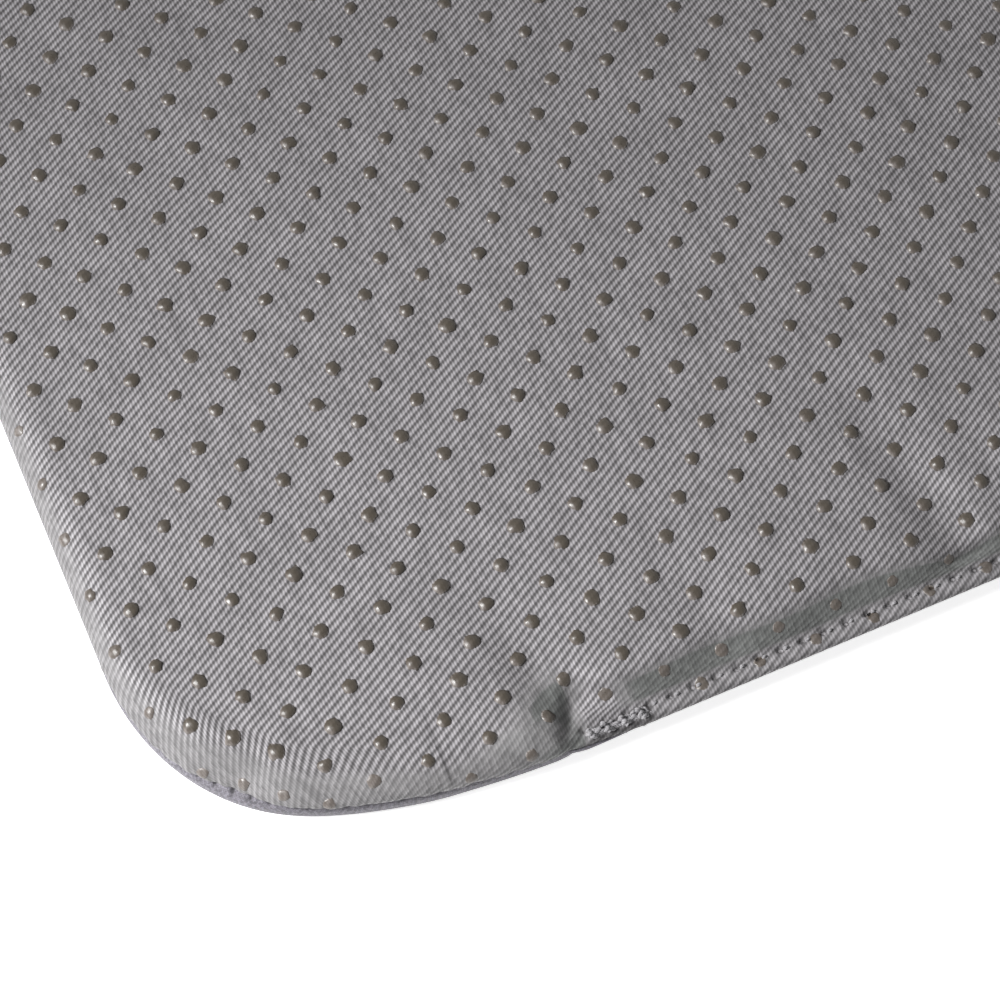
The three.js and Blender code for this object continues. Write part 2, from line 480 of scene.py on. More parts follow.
class NodeGraph:
    """One material's nodes, written as small sums."""

    def __init__(self, name: str) -> None:
        """Starts a material.

        Args:
            name: Its name.
        """
        self.material = bpy.data.materials.new(name)
        self.material.use_nodes = True
        self.tree = self.material.node_tree
        self.shader = self.tree.nodes["Principled BSDF"]

    def plug(self, socket: Socket, value: Value | Colour) -> None:
        """Links a socket, or sets its value where nothing varies.

        Args:
            socket: The input to feed.
            value: Another node's output, a number or a colour.
        """
        if isinstance(value, bpy.types.NodeSocket):
            self.tree.links.new(value, socket)
        elif isinstance(value, tuple) and len(value) == 3 and len(socket.default_value) == 4:
            socket.default_value = (*value, 1.0)
        else:
            socket.default_value = value

    def set(self, **inputs: Value | Colour) -> None:
        """Feeds the shader's inputs, named with underscores for spaces."""
        for name, value in inputs.items():
            self.plug(self.shader.inputs[name.replace("_", " ")], value)

    def math(self, operation: str, *values: Value) -> Socket:
        """One sum.

        Args:
            operation: The math node's operation.
            values: What goes in.

        Returns:
            The result.
        """
        node = self.tree.nodes.new("ShaderNodeMath")
        node.operation = operation
        for socket, value in zip(node.inputs, values):
            self.plug(socket, value)
        return node.outputs[0]

    def add(self, a: Value, b: Value) -> Socket:
        """a plus b."""
        return self.math("ADD", a, b)

    def take(self, a: Value, b: Value) -> Socket:
        """a less b."""
        return self.math("SUBTRACT", a, b)

    def times(self, a: Value, b: Value) -> Socket:
        """a times b."""
        return self.math("MULTIPLY", a, b)

    def span(self, value: Value, low: float, high: float, first: float = 0.0, last: float = 1.0) -> Socket:
        """Carries a range over to another one, smoothly and clamped.

        Args:
            value: What is carried over.
            low: Start of its range.
            high: End of its range.
            first: What low becomes.
            last: What high becomes.

        Returns:
            The carried value.
        """
        node = self.tree.nodes.new("ShaderNodeMapRange")
        node.interpolation_type = "SMOOTHSTEP"
        names = ("Value", "From Min", "From Max", "To Min", "To Max")
        for name, given in zip(names, (value, low, high, first, last)):
            self.plug(node.inputs[name], given)
        return node.outputs["Result"]

    def mix(self, share: Value, a: Socket | Colour, b: Socket | Colour) -> Socket:
        """Mixes two colours.

        Args:
            share: 0 for the first, 1 for the second.
            a: The first colour.
            b: The second colour.

        Returns:
            The mixed colour.
        """
        node = self.tree.nodes.new("ShaderNodeMix")
        node.data_type = "RGBA"
        self.plug(node.inputs[0], share)
        self.plug(node.inputs[6], a)
        self.plug(node.inputs[7], b)
        return node.outputs[2]

    def shade(self, colour: Socket | Colour, amount: Value) -> Socket:
        """Makes a colour lighter or darker.

        Args:
            colour: The colour.
            amount: What it is multiplied by.

        Returns:
            The new colour.
        """
        node = self.tree.nodes.new("ShaderNodeVectorMath")
        node.operation = "SCALE"
        self.plug(node.inputs[0], colour)
        self.plug(node.inputs["Scale"], amount)
        return node.outputs[0]

    def attribute(self, name: str) -> tuple[Socket, Socket]:
        """A value that the mesh carries.

        Args:
            name: Name of the attribute.

        Returns:
            It as a vector and as a number.
        """
        node = self.tree.nodes.new("ShaderNodeAttribute")
        node.attribute_name = name
        return node.outputs["Vector"], node.outputs["Fac"]

    def place(self) -> Socket:
        """Place on the piece, in metres."""
        return self.tree.nodes.new("ShaderNodeTexCoord").outputs["Object"]

    def split(self, vector: Socket) -> tuple[Socket, Socket, Socket]:
        """Takes a vector apart.

        Args:
            vector: The vector.

        Returns:
            Its three numbers.
        """
        node = self.tree.nodes.new("ShaderNodeSeparateXYZ")
        self.plug(node.inputs[0], vector)
        return node.outputs[0], node.outputs[1], node.outputs[2]

    def join(self, x: Value, y: Value, z: Value = 0.0) -> Socket:
        """Puts three numbers together.

        Args:
            x: The first number.
            y: The second number.
            z: The third number.

        Returns:
            The vector.
        """
        node = self.tree.nodes.new("ShaderNodeCombineXYZ")
        for socket, value in zip(node.inputs, (x, y, z)):
            self.plug(socket, value)
        return node.outputs[0]

    def noise(self, vector: Socket, size: float, detail: float = 2.0) -> Socket:
        """Soft noise.

        Args:
            vector: Place to look it up at, in metres.
            size: Size of its blotches.
            detail: Octaves of finer noise.

        Returns:
            A number about 0.5.
        """
        node = self.tree.nodes.new("ShaderNodeTexNoise")
        self.plug(node.inputs["Vector"], vector)
        node.inputs["Scale"].default_value = 1.0 / size
        node.inputs["Detail"].default_value = detail
        return node.outputs[0]

    def cells(self, vector: Socket, size: float) -> Socket:
        """Scattered round cells.

        Args:
            vector: Place to look them up at, in metres.
            size: Size of a cell.

        Returns:
            Distance to the nearest cell's middle, in sizes.
        """
        node = self.tree.nodes.new("ShaderNodeTexVoronoi")
        self.plug(node.inputs["Vector"], vector)
        node.inputs["Scale"].default_value = 1.0 / size
        return node.outputs["Distance"]

    def chance(self, vector: Socket) -> Socket:
        """A random number for each place.

        Args:
            vector: The place.

        Returns:
            A number from 0 to 1, always the same at the same place.
        """
        node = self.tree.nodes.new("ShaderNodeTexWhiteNoise")
        node.noise_dimensions = "2D"
        self.plug(node.inputs["Vector"], vector)
        return node.outputs["Value"]

    def bump(self, height: Socket, depth: float, strength: float = 1.0) -> None:
        """Raises the surface in shading.

        Args:
            height: Height from 0 to 1.
            depth: What a height of 1 stands for.
            strength: How much of it shows.
        """
        node = self.tree.nodes.new("ShaderNodeBump")
        node.inputs["Strength"].default_value = strength
        node.inputs["Distance"].default_value = depth
        self.plug(node.inputs["Height"], height)
        self.plug(self.shader.inputs["Normal"], node.outputs[0])

    def round_yarn(self, across: Socket, half: float) -> Socket:
        """Height of a round yarn.

        Args:
            across: Distance from the yarn's middle.
            half: Half the yarn's width, in the same measure.

        Returns:
            1 on the middle, falling to 0 at the sides in a half circle.
        """
        ratio = self.math("DIVIDE", across, half)
        left = self.math("MAXIMUM", self.take(1.0, self.times(ratio, ratio)), 0.0)
        return self.math("SQRT", left)

    def wave(self, value: Socket) -> Socket:
        """A soft wave from -1 to 1, one for each step of a running count."""
        return self.math("COSINE", self.times(value, 2.0 * math.pi))

    def from_middle(self, value: Socket) -> Socket:
        """How far a running count is from the middle of its step, from -0.5 to 0.5."""
        return self.take(self.math("FRACT", value), 0.5)


class Finish(ABC):
    """A material that is painted once and shared by its pieces."""

    @abstractmethod
    def paint(self) -> bpy.types.Material:
        """Makes the material."""


@dataclass(frozen=True)
class TwillWeave:
    """Steep twill: long yarns float over fine cross yarns, each a step up from the last.

    Attributes:
        yarn_pitch: Distance between the long yarns, along X.
        repeat: Length of one float and its gap, along Y.
        rise: How much higher each next yarn's float starts.
        lean: How far the long yarns lean over, for their length.
        stair: How far the ribs step from yarn to yarn, where 1 is a full step.
        rib_share: How strongly the diagonal ribs show.
        yarn_share: How strongly the single yarns show.
        overtone: How much flatter the ribs' crowns are than a plain wave.
        depth: More than 1 where the hollows are wider than the floats, less where they are narrower.
        skew: How much steeper one flank of a rib is than the other.
        wander_size: Size of the patches in which the yarns wander together.
        wander_yarns: How far they wander across, in yarns.
        wander_picks: How far they wander along, in repeats.
    """

    yarn_pitch: float = 0.433 * MM
    repeat: float = 1.0 * MM
    rise: float = 0.2426 * MM
    lean: float = 0.024
    stair: float = 0.3
    rib_share: float = 0.4
    yarn_share: float = 0.2
    overtone: float = 0.1
    depth: float = 1.4
    skew: float = 0.03
    wander_size: float = 7.0 * MM
    wander_yarns: float = 0.5
    wander_picks: float = 0.35

    def draw(self, g: NodeGraph) -> tuple[Socket, Socket, Socket]:
        """Draws the weave from the place on the flat cloth.

        Args:
            g: The material's nodes.

        Returns:
            How much of a float shows, the height of the weave, and the tone of each yarn about 1.
        """
        place, _ = g.attribute(CLOTH_PLACE)
        u, v, _ = g.split(place)
        wander = g.take(g.noise(place, self.wander_size, 2.0), 0.5)
        count = g.add(g.math("DIVIDE", u, self.yarn_pitch), g.times(wander, self.wander_yarns))
        pick = g.take(g.math("DIVIDE", v, self.repeat), g.times(count, self.rise / self.repeat))
        pick = g.add(pick, g.times(wander, self.wander_picks))
        count = g.add(count, g.times(v, self.lean / self.yarn_pitch))
        number = g.math("FLOOR", count)
        pick = g.add(pick, g.times(g.from_middle(count), self.stair * self.rise / self.repeat))
        pick = g.add(pick, g.times(g.wave(pick), self.skew))
        rib, yarn = g.wave(pick), g.wave(count)
        crowned = g.take(rib, g.times(g.take(g.times(g.times(rib, rib), 2.0), 1.0), self.overtone))
        shown = g.add(0.5, g.add(g.times(crowned, self.rib_share), g.times(yarn, self.yarn_share)))
        floating = g.math("POWER", g.math("MAXIMUM", shown, 0.0), self.depth)
        height = g.add(g.times(rib, 0.7), g.times(yarn, 0.3))
        each = g.chance(g.join(number, g.math("FLOOR", pick)))
        slub = g.noise(g.join(g.times(number, 0.61 * MM), g.times(v, 0.12)), 1.0 * MM, 2.0)
        blotch = g.noise(place, 11.0 * MM, 3.0)
        tone = g.add(g.span(each, 0.0, 1.0, 0.85, 1.15), g.times(g.take(slub, 0.5), 0.5))
        return floating, height, g.add(tone, g.times(g.take(blotch, 0.5), 0.3))


@dataclass(frozen=True)
class GripTwill(Finish):
    """Silver-grey twill, whose weave is pulled flat where the cloth is taut over an edge.

    Attributes:
        yarn: Colour of the floating yarns.
        gap: Colour between them, where the cross yarns show, darkened with painted shade between the floats.
        taut_sheenless_yarn: Colour of the yarns where the cloth is taut over the edge: lower in contrast for
            the weave pulled flat, and a painted stand-in for the floats' sheen falling away there.
        shaded_slope_yarn: Colour of the yarns on the slope beside the lip, darker and greener with painted
            shade.
        relief: Depth of the weave.
    """

    yarn: Colour = (0.415, 0.398, 0.416)
    gap: Colour = (0.079, 0.0746, 0.077)
    # Lower-contrast copy of yarn and gap: the weave pulled flat, plus painted loss of the floats' sheen over
    # the edge.
    taut_sheenless_yarn: Colour = (0.285, 0.276, 0.282)
    taut_sheenless_gap: Colour = (0.186, 0.181, 0.184)
    # Darker, greener copy of yarn and gap: painted shade on the slope beside the lip.
    shaded_slope_yarn: Colour = (0.172, 0.177, 0.173)
    shaded_slope_gap: Colour = (0.121, 0.1245, 0.121)
    # Painted shade in the needle's holes and between the crowded back-tacked stitches.
    shaded_hole: Colour = (0.02, 0.018, 0.018)
    relief: float = 0.035 * MM
    weave: TwillWeave = TwillWeave()

    def paint(self) -> bpy.types.Material:
        """Makes the twill.

        Returns:
            The material.
        """
        g = NodeGraph("grip_twill")
        floating, height, tone = self.weave.draw(g)
        _, taut = g.attribute(TAUT_AND_SHADE)
        # Mixes the flat face's colours with a lower-contrast copy that paints the floats' sheen falling away
        # over the edge, and a darker greener copy that paints the shade on the slope beside the lip.
        over, pressed = g.span(taut, 0.0, 0.8), g.span(taut, 0.8, 1.0)
        yarn = g.mix(pressed, g.mix(over, self.yarn, self.taut_sheenless_yarn), self.shaded_slope_yarn)
        gap = g.mix(pressed, g.mix(over, self.gap, self.taut_sheenless_gap), self.shaded_slope_gap)
        # Painted shade: the cloth is darkened in the needle's holes and between the crowded stitches.
        _, shaded_hole = g.attribute(HOLE_SHADE)
        cloth = g.shade(g.mix(floating, gap, yarn), tone)
        g.set(
            Base_Color=g.mix(shaded_hole, cloth, self.shaded_hole),
            Roughness=g.span(floating, 0.1, 0.9, 0.8, 0.45),
            Specular_IOR_Level=0.4,
            Sheen_Weight=0.05,
            Sheen_Roughness=0.5,
        )
        g.bump(height, self.relief, 0.7)
        return g.material


@dataclass(frozen=True)
class PressWeave(Finish):
    """Smooth blue-grey plain weave with a heat-resistant coating.

    Attributes:
        yarn: Colour of the yarns.
        gap: Colour between them.
        shaded_hole: Colour in the pits at the seam's stitches: painted shade.
        pitch: Distance between the yarns.
    """

    yarn: Colour = (0.207, 0.197, 0.224)
    gap: Colour = (0.104, 0.0985, 0.117)
    # Painted shade in the pits at the seam's stitches.
    shaded_hole: Colour = (0.014, 0.012, 0.016)
    pitch: float = 0.28 * MM

    def paint(self) -> bpy.types.Material:
        """Makes the plain weave from the place on the flat cloth.

        Returns:
            The material.
        """
        g = NodeGraph("press_weave")
        place, _ = g.attribute(CLOTH_PLACE)
        u, v, _ = g.split(place)
        count_u, count_v = g.math("DIVIDE", u, self.pitch), g.math("DIVIDE", v, self.pitch)
        crossing = g.add(g.math("FLOOR", count_u), g.math("FLOOR", count_v))
        over = g.math("MODULO", g.math("ABSOLUTE", crossing), 2.0)
        warp = g.times(g.round_yarn(g.from_middle(count_u), 0.5), g.take(1.0, g.times(over, 0.5)))
        weft = g.times(g.round_yarn(g.from_middle(count_v), 0.5), g.add(0.5, g.times(over, 0.5)))
        height = g.math("MAXIMUM", warp, weft)
        speck = g.span(g.noise(place, 0.45 * MM, 3.0), 0.3, 0.7, 0.6, 1.4)
        tone = g.times(speck, g.add(0.8, g.times(g.noise(place, 9.0 * MM, 4.0), 0.4)))
        cloth = g.shade(g.mix(g.span(height, 0.2, 0.9), self.gap, self.yarn), tone)
        # Painted shade: the weave is darkened in the pits at the seam's stitches.
        _, shaded_hole = g.attribute(HOLE_SHADE)
        g.set(
            Base_Color=g.mix(shaded_hole, cloth, self.shaded_hole),
            Roughness=g.span(height, 0.0, 1.0, 0.7, 0.48),
            Specular_IOR_Level=0.4,
        )
        g.bump(height, 0.07 * MM, 0.7)
        return g.material


@dataclass(frozen=True)
class GripSilicone(Finish):
    """Clear brown-grey silicone, printed as low glossy domes; the yarns show through where it is thin.

    Attributes:
        thick: Colour of a dome's thick middle.
        over_yarn: The same over a floating yarn.
        thin: Colour where it is thinner.
        film: Colour where it is stretched to a film.
    """

    thick: Colour = (0.05, 0.039, 0.027)
    over_yarn: Colour = (0.066, 0.053, 0.039)
    thin: Colour = (0.11, 0.092, 0.08)
    thin_yarn: Colour = (0.178, 0.155, 0.143)
    film: Colour = (0.185, 0.166, 0.155)
    film_yarn: Colour = (0.25, 0.227, 0.214)
    weave: TwillWeave = TwillWeave()

    def paint(self) -> bpy.types.Material:
        """Makes the silicone from each dome's clarity and the weave under it.

        Returns:
            The material.
        """
        g = NodeGraph("grip_silicone")
        floating, height, _ = self.weave.draw(g)
        # Clarity also carries painted light: each dome is clearer, and so lighter, on its side towards the
        # key lamp.
        _, clear = g.attribute(CLARITY_AND_LIT_SIDE)
        _, rim = g.attribute(RIM)
        smear = g.noise(g.place(), 0.5 * MM, 2.0)
        edge = g.times(g.span(rim, 0.66, 0.95), g.span(floating, 0.25, 0.75))
        see = g.math("MAXIMUM", g.add(clear, g.times(g.take(smear, 0.5), 0.2)), edge)
        shown = g.span(floating, 0.1, 0.9)
        deep, low = g.mix(shown, self.thick, self.over_yarn), g.mix(shown, self.thin, self.thin_yarn)
        silicone = g.mix(g.span(see, 0.0, 0.8), deep, low)
        g.set(
            Base_Color=g.mix(g.span(see, 0.65, 1.0), silicone, g.mix(shown, self.film, self.film_yarn)),
            Roughness=g.span(smear, 0.3, 0.7, 0.27, 0.4),
            Specular_IOR_Level=0.5,
        )
        g.bump(g.add(g.times(smear, 0.4), height), 0.05 * MM, 0.2)
        return g.material


@dataclass(frozen=True)
class SewingThread(Finish):
    """Twisted grey polyester thread.

    Attributes:
        light: Colour of its raised fibres.
        dark: Colour between them.
    """

    light: Colour = (0.4, 0.39, 0.405)
    dark: Colour = (0.21, 0.204, 0.214)

    def paint(self) -> bpy.types.Material:
        """Makes the thread with its fine fibres.

        Returns:
            The material.
        """
        g = NodeGraph("sewing_thread")
        fibre = g.noise(g.place(), 0.12 * MM, 3.0)
        worn = g.noise(g.place(), 4.0 * MM, 2.0)
        raised = g.span(g.add(g.times(fibre, 0.7), g.times(worn, 0.3)), 0.3, 0.7)
        g.set(
            Base_Color=g.mix(raised, self.dark, self.light),
            Roughness=g.span(fibre, 0.3, 0.7, 0.78, 0.62),
            Sheen_Weight=0.1,
        )
        g.bump(fibre, 0.04 * MM, 0.6)
        return g.material


@dataclass(frozen=True)
class PadFinish(Finish):
    """A padding layer's material: two tones in fine noise or cells, with its own gloss and grain.

    Attributes:
        name: Name of the material.
        low: Colour of the hollows.
        high: Colour of the raised grain.
        grain: Size of the grain.
        relief: Depth of the grain.
        roughness: Roughness of the hollows and of the raised grain.
        metallic: 1 on a metal film.
        celled: Whether the grain is round cells and not fibres.
    """

    name: str
    low: Colour
    high: Colour
    grain: float
    relief: float
    roughness: tuple[float, float]
    metallic: float = 0.0
    celled: bool = False

    def paint(self) -> bpy.types.Material:
        """Makes the layer's material.

        Returns:
            The material.
        """
        g = NodeGraph(self.name)
        place = g.place()
        grain = g.cells(place, self.grain) if self.celled else g.noise(place, self.grain, 4.0)
        cloud = g.noise(place, 25.0 * self.grain, 2.0)
        share = g.span(g.add(g.times(grain, 0.75), g.times(cloud, 0.25)), 0.3, 0.7)
        g.set(
            Base_Color=g.mix(share, self.low, self.high),
            Roughness=g.span(grain, 0.2, 0.8, *self.roughness),
            Metallic=self.metallic,
        )
        g.bump(grain, self.relief, 0.8)
        return g.material


@dataclass(frozen=True)
class MeshPart:
    """A mesh before it becomes a piece.

    Attributes:
        points: Places, one row each.
        faces: Corners of each face, as rows of points, seen from outside.
        values: What each point carries for its finish, by name.
    """

    points: Array
    faces: list[Sequence[int]]
    values: dict[str, Array] = field(default_factory=dict)

    def to_object(self, name: str, finish: bpy.types.Material) -> bpy.types.Object:
        """Makes the Blender object.

        Args:
            name: Name of the piece.
            finish: Its material.

        Returns:
            The object, in the scene.
        """
        mesh = bpy.data.meshes.new(name)
        mesh.from_pydata(self.points.tolist(), [], [list(map(int, face)) for face in self.faces])
        mesh.polygons.foreach_set("use_smooth", [True] * len(mesh.polygons))
        for key, value in self.values.items():
            if value.ndim == 1:
                mesh.attributes.new(key, "FLOAT", "POINT").data.foreach_set("value", value.astype(np.float32))
            else:
                flat = np.ascontiguousarray(value, np.float32).ravel()
                mesh.attributes.new(key, "FLOAT_VECTOR", "POINT").data.foreach_set("vector", flat)
        mesh.materials.append(finish)
        mesh.update()
        piece = bpy.data.objects.new(name, mesh)
        bpy.context.scene.collection.objects.link(piece)
        return piece


def settle(piece: bpy.types.Object, slot: str, *nodes: str) -> bpy.types.Object:
    """Fixes a piece to the mat's one body and hides the solids it stands for.

    Args:
        piece: The finished piece.
        slot: Not used.
        nodes: Solids that it replaces.

    Returns:
        The piece.
    """
    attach(piece, "root")
    if nodes:
        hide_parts(*nodes)
    log.info("%s: %d points", piece.name, len(piece.data.vertices))
    return piece


@dataclass(frozen=True)
class ClothMap:
    """Carries places on the flat cloth to the made-up cover.

    Attributes:
        flat: Place of each point on the flat cloth.
        points: Its place on the cover.
        normals: The way out of the cover there.
        triangles: Corners of the cover's triangles.
    """

    flat: Array
    points: Array
    normals: Array
    triangles: Array

    @cached_property
    def tree(self) -> BVHTree:
        """The flat cloth, ready to be looked up."""
        flat = np.column_stack([self.flat, np.zeros(len(self.flat))])
        return BVHTree.FromPolygons(flat.tolist(), self.triangles.tolist())

    def carry(self, places: Array) -> tuple[Array, Array] | None:
        """Carries places over.

        Args:
            places: Places on the flat cloth, one row each.

        Returns:
            Their places on the cover and the ways out of it, or None if one is off the cloth.
        """
        spots, ways = [], []
        for place in places:
            hit = self.tree.ray_cast(Vector((place[0], place[1], 1.0)), Vector((0.0, 0.0, -1.0)))
            if hit[2] is None:
                return None
            a, b, c = self.triangles[hit[2]]
            edge_b, edge_c = self.flat[b] - self.flat[a], self.flat[c] - self.flat[a]
            to = place - self.flat[a]
            size = edge_b[0] * edge_c[1] - edge_b[1] * edge_c[0]
            share_b = (to[0] * edge_c[1] - to[1] * edge_c[0]) / size
            share_c = (edge_b[0] * to[1] - edge_b[1] * to[0]) / size
            share_a = 1.0 - share_b - share_c
            spots.append(share_a * self.points[a] + share_b * self.points[b] + share_c * self.points[c])
            ways.append(share_a * self.normals[a] + share_b * self.normals[b] + share_c * self.normals[c])
        return np.array(spots), np.array(ways)


@dataclass(frozen=True)
class Rings:
    """The rings of points that a cover's edge is lofted through, by station and ring.

    Attributes:
        points: Their places.
        inset: How far in from the outline each lies.
        height: How far from the seam's level each lies.
    """

    points: Array
    inset: Array
    height: Array


@dataclass
class Cover(ABC):
    """A cloth cover: a flat face, an edge that rolls to the seam, and the allowance turned in there.

    Attributes:
        mat: Sizes of the mat.
        top: The uneven padded top.
        cut: Sides of the square that it is cut from.
        tuck: How far the seam lies behind the edge.
        roll: How far in from the edge the roll starts.
        bulge_share: Part of the height at which the edge stands out most.
        roundness: 1 for a round roll, more for a straighter one with a sharper shoulder.
        corner_lean: How far the cloth is sheared over the roll of the near left and far right corners.
        corner_fullness: Spare cloth in the corners' rolls, as a part of their length.
        flat_share: Where the section of the edge starts, in rolls.
        take_up: Cloth taken up in the foot of the slope.
        drags: Where the sewing dragged the cloth along: X, Y and the drag along each, in millimetres.
        gape_share: What bulge_share is where the seam gapes.
        taut_edge: How taut the cloth is over the edge, away from the lip, and so how much of the twill's
            painted loss of sheen shows there.
        lip_loose: How much looser it is on the lip, where less of the painted shade shows.
        lip_shares: Insets of the lip's points, as parts of its width.
        lip_heights: Their heights over the seam, in plies.
    """

    mat: MatForm
    top: TopForm
    face: Face = Face.PRESS
    finish: Finish = PressWeave()
    cloth: float = 0.5 * MM
    cut: float = 325.0 * MM
    tuck: float = 0.6 * MM
    allowance: float = 4.5 * MM
    allowance_shares: tuple[float, ...] = (0.2, 0.55, 1.0)
    allowance_lift: float = 0.02
    flat_inset: float = 30.0 * MM
    flat_rings: int = 12
    flat_bias: float = 0.8
    roll: float = 3.6 * MM
    roll_points: int = 24
    arc_points: int = 40
    bulge_share: float = 0.55
    roundness: float = 1.05
    corner_roundness: float = 1.05
    corner_roll: float = 0.0
    corner_lean: float = 0.0
    corner_fullness: float = 0.0
    flat_share: float = 1.7
    foot_share: float = 0.35
    foot_round: float = 0.3
    tuck_points: int = 11
    run: float = 6.0 * MM
    shoulder: float = 0.95 * MM
    toe: float = 0.12
    toe_round: float = 0.1
    take_up: float = 0.0
    take_up_points: int = 6
    fold_gap: float = 0.1 * MM
    drags: tuple[tuple[float, float, float, float], ...] = ()
    drag_reach: float = 10.0 * MM
    gape_share: float = 0.55
    gape_tuck: float = 1.3 * MM
    gape_pull: float = 0.0
    taut_edge: float = 0.72
    taut_fade: float = 14.0 * MM
    taut_drop: float = 0.28
    lip_loose: float = 0.7
    loose_from: float = 1.5
    loose_fade: float = 0.4
    grid: float = 4.0 * MM
    lip_shares: tuple[float, ...] = (0.95, 0.87, 0.79, 0.71, 0.6, 0.45, 0.3, 0.16, 0.06, 0.01, 0.0)
    lip_heights: tuple[float, ...] = (1.0, 1.0, 1.0, 1.0, 1.0, 1.0, 0.99, 0.92, 0.72, 0.38, 0.0)

    @property
    def height(self) -> float:
        """Height of the face over the seam, away from it."""
        return self.mat.thickness - self.mat.seam_height if self.face is Face.GRIP else self.mat.seam_height

    @property
    def seam_ring(self) -> int:
        """Number of the ring of points on the seam."""
        return self.flat_rings + self.roll_points + self.tuck_points - 1

    def slope_run(self) -> Array:
        """Length on the plan of the slope to the lip, at each station."""
        return np.full(len(self.mat.stations.point), self.run)

    def turned_in(self) -> Array:
        """How far the points of the turned-in allowance lie behind the seam."""
        return self.allowance * np.array(self.allowance_shares)

    def rolled_profile(self, roll: float, bulge_share: float, tuck: float, roundness: float) -> Array:
        """One section of the rolled edge.

        Args:
            roll: How far in from the edge the roll starts.
            bulge_share: Part of the height at which the edge stands out most.
            tuck: How far the seam lies behind the edge.
            roundness: 1 for a round section, more for a straighter one with a sharper shoulder.

        Returns:
            The section's points, as inset and height over the seam.
        """
        bulge = bulge_share * self.height
        turn = np.linspace(0.0, math.pi / 2.0, self.arc_points)
        arc_inset = roll * (1.0 - np.sin(turn) ** roundness)
        arc_height = bulge + (self.height - bulge) * np.cos(turn) ** roundness
        arc = np.stack([arc_inset, arc_height], 1)
        down = spaced(np.concatenate([[[self.flat_share * roll, self.height]], arc]), self.roll_points)
        bend = self.foot_share * bulge
        foot = rounded_path([(0.0, bulge), (0.0, bend), (tuck, 0.0)], [self.foot_round * bulge])
        under = spaced(foot, self.tuck_points + 1)[1:]
        behind = np.stack([tuck + self.turned_in(), self.turned_in() * self.allowance_lift], 1)
        return np.concatenate([down, under, behind])

    def rolled_profiles(self) -> Array:
        """Sections of the rolled edge, wider in the corners and open where the seam gapes.

        Returns:
            Inset and height over the seam, by station and point.
        """
        stations = self.mat.stations
        corner, gape = stations.corner[:, None, None], stations.gape[:, None, None]
        wide = self.roll + self.corner_roll
        sharp = self.corner_roundness
        plain = self.rolled_profile(self.roll, self.bulge_share, self.tuck, self.roundness)[None]
        turned = self.rolled_profile(wide, self.bulge_share, self.tuck, sharp)[None]
        opened = self.rolled_profile(wide, self.gape_share, self.gape_tuck, sharp)[None]
        opened = opened + np.array([self.gape_pull, 0.0])
        closed = plain + (turned - plain) * corner
        return closed + (opened - closed) * gape

    def pinched_profiles(self) -> Array:
        """Sections of the pressed edge.

        Returns:
            Inset and height over the seam, by station and point.
        """
        run = self.slope_run()[:, None]
        lip, ply = self.mat.lip_width, self.mat.lip_ply
        corners = [(self.flat_share, 1.0), (1.0, 1.0), (0.0, 0.0), (-self.toe, 0.0)]
        slope = spaced(rounded_path(corners, (self.shoulder / self.roll, self.toe_round)), self.roll_points)
        slope_inset = lip + run * slope[:, 0]
        slope_height = ply + (self.height - ply) * slope[:, 1]
        lip_inset = (lip - self.toe * run) * np.array(self.lip_shares)
        lip_height = ply * np.array(self.lip_heights)
        stations = len(run)
        behind = np.repeat((self.fold_gap + self.turned_in())[None], stations, 0)
        inset = np.hstack([slope_inset, lip_inset, behind])
        height = np.concatenate([slope_height, lip_height, self.turned_in() * self.allowance_lift])
        return np.stack([inset, np.repeat(height[None], stations, 0)], 2)

    def rings(self) -> Rings:
        """The smooth rings, from the face to the allowance.

        Returns:
            The rings before the cover's own dimples and waves.
        """
        stations = self.mat.stations
        share = stations.pinch[:, None, None]
        edge = self.rolled_profiles() * (1.0 - share) + self.pinched_profiles() * share
        edge_inset, edge_height = edge[..., 0] + stations.draw[:, None], edge[..., 1]
        steps = ease(np.arange(self.flat_rings) / self.flat_rings)[None] ** self.flat_bias
        flat_inset = self.flat_inset + (edge_inset[:, :1] - self.flat_inset) * steps
        inset = np.hstack([flat_inset, edge_inset])
        height = np.hstack([np.full_like(flat_inset, self.height), edge_height])
        plan = stations.point[:, None] - stations.outward[:, None] * inset[..., None]
        z = self.mat.seam_height + self.face.value * height
        return Rings(np.concatenate([plan, z[..., None]], 2), inset, height)

    @abstractmethod
    def shape(self, rings: Rings) -> Array:
        """Works the cover's own dimples and waves in.

        Args:
            rings: The smooth rings.

        Returns:
            Places of their points after that.
        """

    @abstractmethod
    def holes(self, rings: Rings) -> Array:
        """Where the needle went through.

        Args:
            rings: The smooth rings.

        Returns:
            1 in a hole, 0 away from it; it also darkens the cover's colour there, as painted shade in the
            hole.
        """

    def shape_middle(self, points: Array) -> Array:
        """Works the waves into the middle of the face, as shape does into the rings."""
        return points

    def unrolled(self, rings: Rings) -> Array:
        """Lays the edge out flat.

        Args:
            rings: The smooth rings.

        Returns:
            Places of their points on the flat cloth.
        """
        stations, first = self.mat.stations, self.flat_rings
        flat = rings.points[..., :2].copy()
        lengths = np.linalg.norm(np.diff(rings.points[:, first - 1 :], axis=1), axis=2)
        spare = stations.pinch * self.take_up / self.take_up_points
        lengths[:, self.roll_points - self.take_up_points : self.roll_points] += spare[:, None]
        lengths *= 1.0 + self.corner_fullness * stations.corner[:, None]
        along = np.cumsum(lengths, 1)
        flat[:, first:] = flat[:, first - 1, None] + stations.outward[:, None] * along[..., None]
        over = np.clip(along - (self.flat_share - 1.0) * self.roll, 0.0, None)
        sideways = np.stack([-stations.outward[:, 1], stations.outward[:, 0]], 1)
        lean = self.corner_lean * stations.corner * (stations.outward.prod(1) > 0.0)
        flat[:, first:] += sideways[:, None] * (lean[:, None] * over)[..., None]
        return flat

